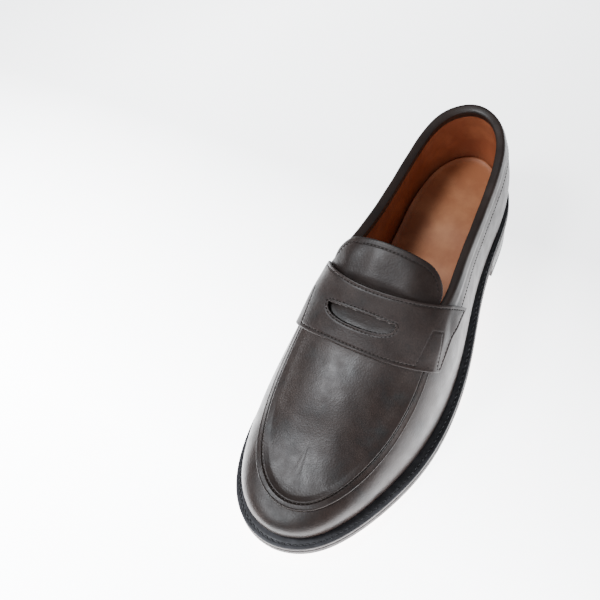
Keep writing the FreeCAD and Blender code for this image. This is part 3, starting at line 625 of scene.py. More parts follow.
# The cut edges' very dark, nearly unreflecting colour is partly the leather's inked edge and partly painted
# shade. On the strap's and tongue's edge rounding it stands for the shadow along their edges, and on the
# sole's lower edge it stands for the contact shadow under the sole.
CUT_EDGE_AND_SHADE = edge_material("cut_edge_and_painted_shade", (0.006, 0.004, 0.0035), (0.014, 0.009, 0.008), 0.6, 0.0,
                         specular=0.05)
HEEL_EDGE = edge_material("heel_edge", (0.011, 0.0075, 0.0065), (0.028, 0.019, 0.016), 0.34, 0.12)
RUBBER = plain_material("heel_rubber", (0.010, 0.010, 0.010), (0.022, 0.022, 0.022), 0.6, 900.0)
UPPER_THREAD = thread_material("upper_thread", (0.008, 0.006, 0.005), (0.018, 0.013, 0.011))
WELT_THREAD = thread_material("sole_thread", (0.03, 0.03, 0.032), (0.08, 0.08, 0.085))


def finish_piece(piece, nodes, slot, *materials):
    """Gives a piece its materials, hides the CAD nodes it stands for and hangs it under the root body."""
    for material in materials:
        piece.data.materials.append(material)
    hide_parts(*nodes)
    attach(piece, "root")
    return piece


# ---- upper -------------------------------------------------------------------------------------
def station_matched_rows(rear_station, rows):
    """t values from the rear to the toe on both sides, paired at equal stations."""
    medial = np.linspace(float(LAST.t_at(rear_station, -1)), LAST.toe, rows)
    lateral = LAST.t_at(LAST.loop_s(medial), 1)
    lateral[-1] = LAST.toe
    return medial, lateral


def rib_lengths(t, low):
    """Rib shares from low to the crest on one rib, and the arc length from low to each."""
    shares = np.linspace(low, 1.0, 160)
    return shares, arc_lengths(LAST.point(np.full(160, t), shares))


# Across the apron's edge: its full lip, a low swell, the stitched groove and the swell behind it.
APRON_HUMPS = [(0.22, 0.45, 0.35), (0.05, 3.3, 0.5), (-0.75, SEAM_GROOVE, 0.42), (0.12, 5.3, 0.7)]


def apron_relief(along, inward, points):
    """Height of the apron's outer face above the last, by distance along and in from its edge."""
    height = APRON_LEATHER + 0.1 - 1.0 * smooth_step(4.6, 10.0, inward) + humps(inward, APRON_HUMPS)
    height = height + 0.04 * bump(inward - SEAM_GROOVE, 0.9) * np.cos(2.0 * math.pi * along / UPPER_PITCH)
    soft = smooth_step(6.0, 18.0, inward)
    height = height + soft * (0.14 * noise(points, 62.0, 3) + 0.08 * noise(points, 24.0, 4))
    pocket = SLOT_POCKET * smooth_step(3.0, -3.0, slot_distance(points))
    return height - edge_drop(inward, 0.3) - pocket


def build_apron():
    rows = 330
    medial, lateral = station_matched_rows(APRON_REAR, rows)
    near_edge = 9.0
    distances = edge_spacing(40.0, 0.25, near_edge, 1.6)
    columns = len(distances)
    halves = []
    for t_values, sign in ((medial, 1), (lateral, -1)):
        low = LAST.seam(t_values)
        along = arc_lengths(LAST.place(t_values, low))
        along = sign * (along[-1] - along)
        shares = np.empty((rows, columns))
        inward = np.empty((rows, columns))
        for i in range(rows):
            table, run = rib_lengths(t_values[i], low[i])
            scale = (run[-1] - near_edge) / (distances[-1] - near_edge)
            further = near_edge + (distances - near_edge) * scale
            inward[i] = np.where(distances <= near_edge, distances, further)
            shares[i] = np.interp(inward[i], run, table)
        shares[:, -1] = 1.0
        halves.append((np.repeat(t_values[:, None], columns, 1), shares,
                       np.repeat(along[:, None], columns, 1), inward))
    t_grid, shares, along, inward = [np.concatenate([a, b[:, -2::-1]], 1) for a, b in zip(*halves)]
    base = relax_crest(LAST.place(t_grid, shares), columns - 1)
    normal = grid_normals(base, LAST.normal(t_grid, shares))
    height = apron_relief(along, inward, base)
    inner_height = np.clip(height - APRON_LEATHER, -2.2, 0.08)
    inner_height[:, [0, -1]] = 0.05
    piece = sheet_mesh("apron_leather", lift(base, normal, height), lift(base, normal, inner_height),
                       folded=True)
    return finish_piece(piece, ["apron"], "upper_leather", UPPER)


def relax_crest(base, middle, rounds=60):
    """Evens out the surface where the ribs meet: round the front end of the crest, and along the
    toe's rib, where the last row of the grid is folded back on itself."""
    points = base.copy()
    rows, columns = points.shape[:2]
    weight = smooth_step(rows * 0.45, rows * 0.8, np.arange(rows))[:, None]
    from_middle = np.arange(columns) - middle
    weight = weight * bump(from_middle, 9.0)[None, :]
    fold = bump(np.arange(rows) - rows + 1, 12.0)[:, None] * bump(from_middle, 0.6 * middle)[None, :]
    weight = np.maximum(weight, fold)
    for _ in range(rounds):
        even = points.copy()
        lengthwise = points[2:, 1:-1] + points[:-2, 1:-1]
        even[1:-1, 1:-1] = (lengthwise + points[1:-1, 2:] + points[1:-1, :-2]) / 4.0
        across = points[-1, 2:] + points[-1, :-2]
        even[-1, 1:-1] = (across + points[-2, 1:-1] + points[-2, -2:0:-1]) / 4.0
        points = mix(points, even, 0.6 * weight[..., None])
    return points


def grid_normals(points, like):
    """Normals of a grid folded back on itself in its last row, turned to the side that like is on."""
    normals = unit(np.cross(np.gradient(points, axis=0), np.gradient(points, axis=1)))
    normals = normals * np.sign(np.sum(normals * like, axis=-1, keepdims=True))
    normals[-1] = unit(normals[-1] + normals[-1, ::-1])
    return normals


def apron_seam_path():
    t_values = np.linspace(float(LAST.t_at(176.0, -1)), float(LAST.t_at(176.0, 1)), 500)
    low = LAST.seam(t_values)
    shares = np.empty_like(t_values)
    for i, t in enumerate(t_values):
        table, run = rib_lengths(t, low[i])
        shares[i] = np.interp(SEAM_GROOVE, run, table)
    normal = LAST.normal(t_values, shares)
    height = APRON_LEATHER + 0.1 - 0.5
    return LAST.place(t_values, shares) + normal * height, normal


def build_skirt():
    """Side wall of the upper, from the welt to under the apron and the collar."""
    t_values = np.linspace(0.0, 1.0, 521)[:-1]
    front = smooth_step(146.0, 172.0, LAST.loop_s(t_values))
    under_apron = LAST.seam(t_values) + 0.07
    topline = LAST.topline_share(t_values, 2.6)
    top = mix(topline, under_apron, front)
    rise = np.concatenate([[-0.006], np.linspace(0.0, 0.12, 10)[:-1], np.linspace(0.12, 1.0, 46)])
    shares = rise[None, :] * top[:, None]
    t_grid = np.repeat(t_values[:, None], len(rise), 1)
    base, normal = LAST.surface(t_grid, shares)
    soft = smooth_step(0.0, 0.2, rise)[None, :] * (1.0 - smooth_step(0.85, 1.0, rise))[None, :]
    height = soft * (0.16 * noise(base, 55.0, 7) + 0.07 * noise(base, 21.0, 8))
    piece = sheet_mesh("side_wall_leather", lift(base, normal, height), base - normal * SKIRT_LEATHER)
    return finish_piece(piece, ["skirt"], "upper_leather", UPPER)


REAR_EDGE = Spline(STRAP_REAR)
FRONT_EDGE = Spline(STRAP_FRONT)


def strap_underside(station, girth):
    """Height of the strap's underside: over the apron, over the collar, or on the side wall."""
    t, _ = LAST.girth_t(station, girth)
    past_apron = LAST.seam(t) - 1.0 + np.abs(girth)
    over_apron = (APRON_LEATHER + STRAP_OVER_APRON) * (1.0 - smooth_step(0.0, STRAP_DROP, past_apron))
    over_collar = fading((STRAP_OVER_COLLAR, COLLAR_FRONT, COLLAR_FRONT + COLLAR_FADE), station)
    return STRAP_CLEARANCE + (over_apron ** 4 + over_collar ** 4) ** 0.25


def strap_places(across, forward):
    """Station and girth on the strap: across runs medial to lateral, forward rear to front."""
    end = STRAP_END + STRAP_FLARE * (1.0 - forward) ** 3
    girth = (across * 2.0 - 1.0) * end
    return mix(REAR_EDGE(girth), FRONT_EDGE(girth), forward), girth


def slot_plane():
    """Centre of the slot and its directions across, toward the toe and out of the strap."""
    centre = LAST.girth_place(SLOT_STATION, 0.0, 2.0)
    before, beyond = (LAST.girth_place(SLOT_STATION + step, 0.0, 2.0) for step in (-4.0, 4.0))
    toward_toe = unit(beyond - before)
    across = np.array([1.0, 0.0, 0.0])
    return centre + across * SLOT_OFFSET, across, toward_toe, np.cross(toward_toe, across)


def slot_outline(grow=0.0, count=60):
    """Half-moon in the slot's plane: straight towards the heel, bowed towards the toe."""
    half = SLOT_LENGTH / 2.0
    bow = []
    for angle in np.linspace(0.0, math.pi, count):
        x = half * math.copysign(abs(math.cos(angle)) ** 0.8, math.cos(angle))
        bow.append((x, -SLOT_WIDTH / 2.0 + SLOT_WIDTH * math.sin(angle) ** 0.75))
    straight = [(x, -SLOT_WIDTH / 2.0 - 0.6 * (1.0 - (x / half) ** 2)) for x in
                np.linspace(-half, half, count)[1:-1]]
    outline = np.array(bow + straight)
    if grow:
        ahead = np.roll(outline, -1, axis=0) - np.roll(outline, 1, axis=0)
        outward = unit(np.column_stack([ahead[:, 1], -ahead[:, 0]]))
        outline = outline + outward * grow
    return outline


def slot_distance(points):
    """Signed distance in the slot's plane from its outline, negative inside."""
    centre, across, toward_toe, _ = slot_plane()
    flat = np.stack([(points - centre) @ across, (points - centre) @ toward_toe], -1)
    outline = slot_outline()
    shape = flat.shape[:-1]
    flat = flat.reshape(-1, 2)
    near = np.full(len(flat), 1e9)
    inside = np.zeros(len(flat), bool)
    for a, b in zip(outline, np.roll(outline, -1, axis=0)):
        step = b - a
        share = np.clip(((flat - a) @ step) / (step @ step), 0.0, 1.0)
        near = np.minimum(near, np.linalg.norm(flat - a - share[:, None] * step, axis=1))
        crosses = (a[1] > flat[:, 1]) != (b[1] > flat[:, 1])
        if a[1] != b[1]:
            inside ^= crosses & (flat[:, 0] < a[0] + (flat[:, 1] - a[1]) * step[0] / step[1])
    return np.where(inside, -near, near).reshape(shape)


def edge_distance(points):
    """Distance of every grid point from the grid's nearest border, by arc length."""
    def along(axis):
        steps = np.linalg.norm(np.diff(points, axis=axis), axis=-1)
        run = np.concatenate([np.zeros_like(np.take(steps, [0], axis=axis)), np.cumsum(steps, axis=axis)],
                             axis=axis)
        total = np.take(run, [-1], axis=axis)
        return np.minimum(run, total - run)
    return along(0), along(1)


def build_strap():
    def clustered(length):
        half = edge_spacing(length / 2.0, 0.35, 4.0, 0.45)
        return np.concatenate([half, length - half[-2::-1]]) / length
    across = clustered(150.0)
    forward = clustered(38.0)
    station, girth = strap_places(across[:, None], forward[None, :])
    base, normal = LAST.girth_surface(station, girth)
    under = strap_underside(station, girth)
    ends, edges = edge_distance(base)
    border = np.minimum(ends, edges)
    lifted = lift(base, normal, under + STRAP_THICKNESS)
    slot = slot_distance(lifted)
    row = path_distance(lifted, strap_stitch_row()[0])
    height = under + STRAP_THICKNESS - 0.30 * bump(row, 0.45) - 0.28 * bump(slot - EDGE_STITCH, 0.45)
    height = height + 0.09 * bump(border - 0.95, 0.6) + 0.05 * bump(slot - 0.9, 0.5)
    height = height - edge_drop(np.minimum(border, np.maximum(slot, 0.0)), 0.5)
    height = height + smooth_step(3.0, 8.0, border) * 0.25 * noise(base, 33.0, 11)
    piece = sheet_mesh("saddle_strap_leather", lift(base, normal, height), lift(base, normal, under))
    cut_slot(piece)
    finish_piece(piece, ["saddle_strap"], "upper_leather", SADDLE_SHADED, CUT_EDGE_AND_SHADE)
    paint_cut_edges_and_shade(piece, base, normal)


def paint_cut_edges_and_shade(piece, base, normal):
    """Gives the second material, the dark cut-edge colour, to the faces that stand across the surface that
    base lies on: the cut edge and the rounding next to it, darkened partly as the leather's inked edge and
    partly as painted shade.
    """
    tree = KDTree(base[..., 0].size)
    for k, place in enumerate(base.reshape(-1, 3) * MM):
        tree.insert(place, k)
    tree.balance()
    outward = normal.reshape(-1, 3)
    for face in piece.data.polygons:
        nearest = tree.find(face.center)[1]
        if abs(float(outward[nearest] @ np.array(face.normal))) < 0.8:
            face.material_index = 1


def cut_slot(piece):
    centre, across, toward_toe, out = slot_plane()
    outline = slot_outline()
    flat = centre + outline[:, :1] * across + outline[:, 1:] * toward_toe
    cutter = stacked_mesh("slot_cutter", [flat - out * 8.0, flat + out * 8.0])
    modifier = piece.modifiers.new("slot", "BOOLEAN")
    modifier.operation = "DIFFERENCE"
    modifier.solver = "EXACT"
    modifier.object = cutter
    apply_modifiers(piece)
    bpy.data.objects.remove(cutter)
    piece.data.shade_smooth()
    piece.data.set_sharp_from_angle(angle=math.radians(50.0))


def apply_modifiers(piece):
    depsgraph = bpy.context.evaluated_depsgraph_get()
    evaluated = piece.evaluated_get(depsgraph)
    mesh = bpy.data.meshes.new_from_object(evaluated)
    piece.modifiers.clear()
    old = piece.data
    piece.data = mesh
    bpy.data.meshes.remove(old)


def strap_stitch_row():
    """The row round the strap, which turns in round the apron's seam near each end."""
    side, edge = STRAP_ROW_INSET
    lateral = [(1.0 - side, edge), (1.0 - side, 1.0 - edge)] + STRAP_BOX
    corners = lateral + [(1.0 - across, forward) for across, forward in reversed(lateral)]
    legs = []
    for start, end in zip(corners, corners[1:] + corners[:1]):
        share = np.linspace(0.0, 1.0, 6 + int(600 * math.dist(start, end)))[:-1, None]
        legs.append(mix(np.array(start), np.array(end), share))
    row = np.concatenate(legs + [legs[0][:1]])
    station, girth = strap_places(row[:, 0], row[:, 1])
    base, normal = LAST.girth_surface(station, girth)
    return lift(base, normal, strap_underside(station, girth) + STRAP_THICKNESS - STITCH_SINK), normal


def slot_stitch_row():
    centre, across, toward_toe, out = slot_plane()
    outline = slot_outline(EDGE_STITCH, 80)
    outline = np.concatenate([outline, outline[:1]])
    return project_to_strap(centre + outline[:, :1] * across + outline[:, 1:] * toward_toe, out)


def project_to_strap(flat, out):
    """Moves points of the slot's plane along its normal onto the strap's outer face."""
    points = flat.copy()
    normals = np.zeros_like(points)
    for k, point in enumerate(flat):
        station = STATION_AT_ORIGIN - point[1]
        girth = 0.0
        for _ in range(12):
            here, normal = LAST.girth_surface(station, girth)
            here = here + normal * (strap_underside(station, girth) + STRAP_THICKNESS - STITCH_SINK)
            miss = (point - here) - out * ((point - here) @ out)
            station -= miss[1] / max(abs(out[2]), 0.2)
            girth += miss[0] / 62.0
        points[k] = here
        normals[k] = normal
    return points, normals


def tongue_places(across, forward, inset=0.0):
    """Station, girth and height of the tongue's outer face: across from -1 to 1, forward from its
    rounded rear edge to its end under the apron."""
    corner, corner_depth = TONGUE_CORNER
    narrow_from, narrow_to, narrow_width = TONGUE_TAPER
    into_corner = np.maximum((np.abs(across) - 1.0) * TONGUE_HALF_WIDTH + corner, 0.0) / corner
    rear = TONGUE_TOP + TONGUE_LENGTHWAYS * inset
    rear = rear + corner_depth * (1.0 - np.sqrt(1.0 - CORNER_FULLNESS * into_corner ** 2))
    station = mix(rear, TONGUE_FRONT, forward)
    width = mix(TONGUE_HALF_WIDTH, narrow_width, smooth_step(narrow_from, narrow_to, station))
    girth = across * (width - inset)
    height = fading(TONGUE_RISE, station) - TONGUE_SINK - TONGUE_DIP[0] + fading(TONGUE_DIP, station)
    height = height + smooth_step(*MEDIAL_SPREAD, -girth) * fading(MEDIAL_RISE, station)
    return station, girth, height


def tongue_grid(inset=0.0):
    """Surface points, normals and height of the tongue's outer face."""
    across = np.sin(np.linspace(-0.49, 0.49, 181) * math.pi)[:, None] / math.sin(0.49 * math.pi)
    forward = edge_spacing(31.0, 0.35, 5.0, 0.7)[None, :] / 31.0
    station, girth, height = tongue_places(across, forward, inset)
    return *LAST.girth_surface(station, girth), height, girth


def build_tongue():
    base, normal, height, girth = tongue_grid()
    lifted = lift(base, normal, height)
    outline = np.concatenate([lifted[0, ::-1], lifted[:, 0], lifted[-1]])
    border = path_distance(lifted, outline)
    row = path_distance(lifted, tongue_stitch_row()[0])
    relief = 0.10 * bump(border - 1.3, 0.8) - 0.26 * bump(row, 0.5) - edge_drop(border, 0.5)
    creases = 0.22 * np.cos(girth * 27.0 + 0.6) + 0.1 * noise(base, 26.0, 14)
    relief = relief + smooth_step(2.0, 12.0, border) * creases
    piece = sheet_mesh("tongue_leather", lift(lifted, normal, relief), lifted - normal * TONGUE_LEATHER)
    finish_piece(piece, ["tongue"], "upper_leather", SADDLE_SHADED, CUT_EDGE_AND_SHADE)
    paint_cut_edges_and_shade(piece, base, normal)
    base, normal, height, _ = tongue_grid(0.012)
    lifted = lift(base, normal, height - TONGUE_LEATHER - 0.02)
    lining = sheet_mesh("tongue_back_leather", lifted, lifted - normal * TONGUE_BACKING)
    finish_piece(lining, ["tongue_lining"], "lining_leather", LINING)


def tongue_stitch_row():
    across = np.linspace(-0.97, 0.97, 240)
    station, girth, height = tongue_places(across, 0.08, 0.03)
    base, normal = LAST.girth_surface(station, girth)
    return lift(base, normal, height - 0.15), normal


def around_heel(station, count):
    return np.linspace(float(LAST.t_at(station, 1)) - 1.0, float(LAST.t_at(station, -1)), count)


RIM_DROP = 2.7                 # from the top of the collar's rim to where its rounding starts
RIM_OUTSIDE = 1.9              # how far the rim stands out from the last
RIM_INSIDE = -4.3


def build_collar():
    """Binding folded over the opening's edge: outer band, broad flat rim and inner turn-in."""
    t_values = around_heel(COLLAR_FRONT, 361)
    edge = LAST.topline_share(t_values, RIM_DROP)
    wobble = 0.06 * np.sin(arc_lengths(LAST.place(t_values, edge)) * 2.0 * math.pi / 23.0)
    rows_outer = []
    rows_inner = []

    def add_row(share, outer, inner, outer_up=0.0, inner_up=0.0):
        rows_outer.append(LAST.place(t_values, share, outer, outer_up))
        rows_inner.append(LAST.place(t_values, share, inner, inner_up))

    from_edge = np.concatenate([[0.0, 0.05, 0.14, 0.3, 0.5],
                                np.linspace(0.9, COLLAR_DEPTH - RIM_DROP - 2.0, 18)])
    for depth in COLLAR_DEPTH - from_edge:
        height = 1.05 - edge_drop(COLLAR_DEPTH - depth, 0.35) + 0.12 * bump(depth - 11.0, 3.0)
        height = height - 0.25 * bump(depth - COLLAR_DEPTH + 1.6, 0.5)
        height = height + (RIM_OUTSIDE - 1.0) * smooth_step(8.5, 5.0, depth)
        add_row(LAST.topline_share(t_values, depth), height, 0.0)
    middle = (RIM_OUTSIDE + RIM_INSIDE) / 2.0
    half = (RIM_OUTSIDE - RIM_INSIDE) / 2.0
    for angle in np.linspace(0.0, math.pi, 25):
        across = math.copysign(abs(math.cos(angle)) ** 0.55, math.cos(angle))
        above = math.sin(angle) ** 0.75
        add_row(edge, middle + (half + wobble) * across, -1.6 + 1.6 * math.cos(angle),
                (RIM_DROP + wobble) * above, 1.5 * math.sin(angle))
    for depth in np.linspace(RIM_DROP + 1.0, 8.0, 8):
        add_row(LAST.topline_share(t_values, depth), RIM_INSIDE + 0.3 * smooth_step(6.0, 8.0, depth), -3.25)
    piece = sheet_mesh("collar_leather", np.stack(rows_outer, 1), np.stack(rows_inner, 1))
    return finish_piece(piece, ["collar_binding"], "binding_leather", BINDING)


def collar_stitch_row():
    t_values = around_heel(COLLAR_FRONT - 4.0, 500)
    share = LAST.topline_share(t_values, COLLAR_DEPTH - 1.5)
    return LAST.place(t_values, share, LIFTED_ROW), LAST.normal(t_values, share)


def back_strip_places(across, rise, inset=0.0):
    """Places on the back strip: across from -1 to 1, rise from the welt to the collar."""
    t = across * (mix(*BACK_STRIP_WIDTHS, rise) - inset)
    return t, mix(BACK_STRIP_FOOT, LAST.topline_share(t, COLLAR_DEPTH + 0.2), rise)


def build_back_strip():
    rise = edge_spacing(42.0, 0.5, 3.0, 1.2) / 42.0
    across_half = edge_spacing(14.0, 0.4, 4.0, 1.2) / 14.0
    across = np.concatenate([across_half, 2.0 - across_half[-2::-1]]) - 1.0
    base, normal = LAST.surface(*back_strip_places(across[:, None], rise[None, :]))
    sides, _ = edge_distance(base)
    height = 1.15 - edge_drop(sides, 0.5) - 0.22 * bump(sides - EDGE_STITCH, 0.55)
    piece = sheet_mesh("back_strip_leather", lift(base, normal, height), base + normal * 0.03)
    return finish_piece(piece, ["back_strip"], "upper_leather", UPPER)


def back_strip_rows():
    rise = np.linspace(0.03, 0.97, 80)
    rows = []
    for side in (-1.0, 1.0):
        t, share = back_strip_places(side, rise, EDGE_STITCH / LAST.girth)
        rows.append((LAST.place(t, share, LIFTED_ROW), LAST.normal(t, share)))
    return rows


# ---- inside ------------------------------------------------------------------------------------
def build_quarter_lining():
    t_values = around_heel(166.0, 261)
    front = smooth_step(118.0, 150.0, LAST.loop_s(t_values))
    top = LAST.topline_share(t_values, mix(3.3, 9.0, front))
    rise = np.linspace(0.0, 1.0, 30)
    share = rise[None, :] * top[:, None]
    t_grid = np.repeat(t_values[:, None], len(rise), 1)
    base, normal = LAST.surface(t_grid, share)
    soft = 0.14 * noise(base, 38.0, 21) + 0.05 * noise(base, 13.0, 22)
    piece = sheet_mesh("quarter_lining_leather", base + normal * (LINING_OUTSIDE - 0.02),
                       lift(base, normal, LINING_INSIDE + soft))
    return finish_piece(piece, ["quarter_lining"], "lining_leather", LINING)


def build_vamp_lining():
    rows, half = 120, 40
    medial, lateral = station_matched_rows(TONGUE_FRONT + 1.5, rows)
    rise = np.linspace(0.0, 1.0, half)
    t_grid = np.column_stack([medial] * half + [lateral] * (half - 1))
    share = np.concatenate([rise, rise[-2::-1]])[None, :] * np.ones((rows, 1))
    base, normal = LAST.surface(t_grid, share)
    base = relax_crest(base, half - 1)
    piece = sheet_mesh("vamp_lining_leather", base + normal * LINING_OUTSIDE,
                       base + normal * LINING_INSIDE, folded=True)
    return finish_piece(piece, ["vamp_lining"], "lining_leather", LINING)


def fan_grid(inset, rings, count=300, grow=0.0):
    """Plan points from the outline, moved in by inset, to the line under the crest."""
    t = np.arange(count) / count
    x, s, nx, ns = LAST.feather(t)
    out = grow * LAST.welt_width(t) - inset
    x = x + nx * out
    s = s + ns * out
    middle_s = LAST.crest_station(s)
    middle_x = LAST.crest_x(middle_s)
    share = np.asarray(rings)[:, None]
    return np.stack([mix(x, middle_x, share), mix(s, middle_s, share)], -1)


def cushion_top(station):
    return LAST.height(station) + 3.0 + 2.0 * (1.0 - smooth_step(58.0, 84.0, station))


def on_height(plan, height):
    """Plan points with a height each."""
    return np.concatenate([plan, height[..., None]], -1)


def build_sock():
    """Sock liner over the insole, its edge curling up against the lining."""
    rings = np.concatenate([[0.0, 0.02, 0.05, 0.1], np.linspace(0.16, 1.0, 14)])
    plan = fan_grid(4.5, rings)
    level = cushion_top(plan[..., 1])
    top = on_height(plan, level + 1.0 + 1.2 * bump(rings, 0.05)[:, None])
    top[..., 2] += 0.12 * noise(top, 30.0, 31)
    piece = disc_sheet("sock_liner_leather", top, on_height(plan, level + 0.02))
    return finish_piece(piece, ["sock_liner"], "sock_leather", SOCK)


def disc_sheet(name, top, low):
    """A closed disc between two fans of rings [ring][place round], given as (x, station, z)."""
    rings, count = top.shape[:2]
    points = np.concatenate([to_row(top).reshape(-1, 3), to_row(low).reshape(-1, 3)])
    total = rings * count
    faces = [grid_faces(rings, count, close_columns=True),
             grid_faces(rings, count, total, flip=True, close_columns=True)]
    border = np.arange(count)
    ahead = np.roll(border, -1)
    faces.append(np.column_stack([border, ahead, ahead + total, border + total]))
    return mesh_object(name, points, np.concatenate(faces))


# ---- bottom ------------------------------------------------------------------------------------
def plan_ring(t_values, out, rise):
    """Points (x, station, z) by their distance out from the feather line and their height above it."""
    x, s, nx, ns = LAST.feather(t_values)
    return np.stack([x + nx * out, s + ns * out, LAST.height(s) + rise], -1)


def outline_sections(t_values, profile):
    """Sections along the feather line: profile gives (out, height) pairs by welt width."""
    pairs = profile(LAST.welt_width(t_values))
    return to_row(np.stack([plan_ring(t_values, out, rise) for out, rise in pairs], 1))


WELT_SHARES = np.linspace(0.06, 0.92, 21)
WELT_ROW = 0.6                 # place of the stitches across the welt
WELT_SIDE_ROWS = 6             # rows of faces on the outer side of the welt
WELT_CREASE = [(-5.0, -0.02), (-0.5, -0.02), (0.1, -0.03)]     # under the upper and beside it


def welt_profile(width):
    """Round the welt's section: crease at the upper, stitch groove, bevelled outer edge, underside."""
    top = list(WELT_CREASE)
    for share in WELT_SHARES:
        rise = 0.10 * math.sin(math.pi * share) - 0.28 * float(bump(share - WELT_ROW, 0.09))
        top.append((width * share, rise))
    edge = [(width - 0.30, -0.03), (width - 0.06, -0.22), (width + 0.05, -0.5), (width + 0.05, -1.3),
            (width + 0.02, -2.1), (width - 0.12, -2.7), (width - 0.4, -2.94), (width - 0.9, -WELT_THICKNESS)]
    return top + edge + [(0.0, -WELT_THICKNESS), (-5.0, -WELT_THICKNESS)]


def finish_welt(name, node, sections):
    """A strip with the welt's profile, whose outer side is waxed like the sole's edge."""
    piece = stacked_mesh(name, sections)
    finish_piece(piece, [node], "welt_leather", WELT, SOLE_EDGE)
    columns = sections.shape[1]
    first = len(WELT_CREASE) + len(WELT_SHARES) + 1
    for face in piece.data.polygons:
        places = [vertex % columns for vertex in face.vertices]
        if first <= min(places) and max(places) <= first + WELT_SIDE_ROWS:
            face.material_index = 1


def along_welt(start, count):
    """Places from the inner side of the heel round the toe to its outer side."""
    return np.linspace(float(LAST.t_at(start, -1)), float(LAST.t_at(start, 1)), count)


def build_welt():
    """Welt with a notch at every stitch, and the heel rand, which goes on from it round the heel."""
    sections = outline_sections(along_welt(HEEL_BREAST - 4.0, 1500), welt_profile)
    row = len(WELT_CREASE) + int(np.argmin(np.abs(WELT_SHARES - WELT_ROW)))
    along = arc_lengths(sections[:, row])
    notch = (0.5 + 0.5 * np.cos(2.0 * math.pi * along / WELT_PITCH)) ** 2
    for column, share in enumerate(WELT_SHARES, len(WELT_CREASE)):
        sections[:, column, 2] -= 0.2 * float(bump(share - WELT_ROW, 0.1)) * notch
    finish_welt("welt_strip", "welt", sections)
    sections = outline_sections(around_heel(HEEL_BREAST - 4.0, 300), welt_profile)
    finish_welt("heel_rand_strip", "heel_rand", sections)


def welt_stitch_row():
    t_values = along_welt(HEEL_BREAST, 1400)
    points = outline_sections(t_values, lambda width: [(width * WELT_ROW, 0.0)])[:, 0]
    return points, np.tile([0.0, 0.0, 1.0], (len(t_values), 1))


# The sole's side as (out from the welt's edge, height from the feather line).
SOLE_SIDE = [(-6.0, -3.02), (-1.2, -3.02), (-0.35, -3.08), (0.0, -3.35), (0.12, -4.2), (0.12, -6.2),
             (0.02, -7.0), (-0.15, -7.7), (-0.5, -8.25), (-1.1, -SOLE_DEPTH)]
SOLE_CHANNEL = (5.6, 0.25)     # the stitched channel's distance from the edge and its depth


def build_outsole():
    """Leather sole: rounded, waxed edge round a flat tread with a stitched channel."""
    count = 900
    t = np.arange(count) / count
    rings = [plan_ring(t, out + LAST.welt_width(t), rise) for out, rise in SOLE_SIDE]

    def add_tread_ring(inset, share, depth):
        plan = fan_grid(inset, [share], count, 1.0)[0]
        rings.append(on_height(plan, LAST.height(plan[:, 1]) - depth))

    channel, channel_depth = SOLE_CHANNEL
    for inset in (5.0, channel, 6.2, 9.0, 16.0):
        add_tread_ring(inset, 0.0, SOLE_DEPTH - (channel_depth if inset == channel else 0.0))
    for share in (0.25, 0.5, 0.75, 1.0):
        add_tread_ring(16.0, share, SOLE_DEPTH)
    rows = len(rings)
    top = fan_grid(6.0, [0.3, 0.65, 1.0], count, 1.0)
    top = to_row(on_height(top, LAST.height(top[..., 1]) + SOLE_SIDE[0][1]))
    here = np.arange(count)
    ahead = np.roll(here, -1)
    join = np.column_stack([here, ahead, rows * count + ahead, rows * count + here])
    faces = [grid_faces(rows, count, close_columns=True),
             grid_faces(3, count, rows * count, close_columns=True), join]
    points = np.concatenate([to_row(np.concatenate(rings)), top.reshape(-1, 3)])
    piece = mesh_object("outsole_leather", points, np.concatenate(faces))
    finish_piece(piece, ["outsole"], "sole_leather", SOLE_EDGE, SOLE_BASE, CUT_EDGE_AND_SHADE)
    for face in piece.data.polygons:
        if face.normal.z < -0.85:
            face.material_index = 1
        # The lower, downward-turned rounding of the sole's edge gets the dark cut-edge colour: painted shade
        # for the contact shadow under the sole.
        elif face.normal.z < -0.08:
            face.material_index = 2


def heel_outline(inset, count=200, breast=HEEL_BREAST):
    """Closed plan outline of the heel at an inset from the sole's edge, with a hollowed breast."""
    t = around_heel(breast + 3.0, 1200)
    points = plan_ring(t, LAST.welt_width(t) - inset, 0.0)[:, :2]
    points = points[points[:, 1] < breast]
    run = arc_lengths(points)
    points = interpolate(points, run, np.linspace(0.0, run[-1], count))
    share = np.linspace(0.0, 1.0, 40)[1:-1]
    front = mix(points[-1], points[0], share[:, None])
    front[:, 1] -= 3.0 * (1.0 - (2.0 * share - 1.0) ** 2)
    return np.concatenate([points, front])


# How far each layer's edge is rounded in, as (share of its height, mm).
LAYER_ROUNDING = [(0.0, 0.35), (0.035, 0.1), (0.12, 0.0), (0.88, 0.0), (0.965, 0.1), (1.0, 0.35)]
UPPER_LIFT_ROUNDING = [(0.0, 0.35), (0.06, 0.1), (0.3, 0.0), (0.94, 0.0), (1.0, 0.0)]


def build_heel():
    """Rubber top piece and three leather lifts. The upper lift reaches up to the sole's curve."""
    levels = [0.0] + [TOP_PIECE_THICKNESS + LIFT_THICKNESS * k for k in range(3)]
    names = ["top_piece", "heel_lift_lower", "heel_lift_middle", "heel_lift_upper"]
    for name, low, high in zip(names, levels, levels[1:] + [None]):
        loops = []
        for share, inward in UPPER_LIFT_ROUNDING if high is None else LAYER_ROUNDING:
            about = mix(low, HEEL_TOP if high is None else high, share)
            plan = heel_outline(mix(HEEL_TAPER, HEEL_TOP_INSET, about / HEEL_TAPER_HEIGHT) + inward)
            top = LAST.height(plan[:, 1]) - SOLE_DEPTH if high is None else np.full(len(plan), high)
            loops.append(to_row(on_height(plan, mix(low, top, share))))
        piece = stacked_mesh(name + "_layer", loops, sharp_angle=40)
        if name == "top_piece":
            finish_piece(piece, [name], "heel_rubber", RUBBER)
        else:
            finish_piece(piece, [name], "heel_leather", HEEL_EDGE)


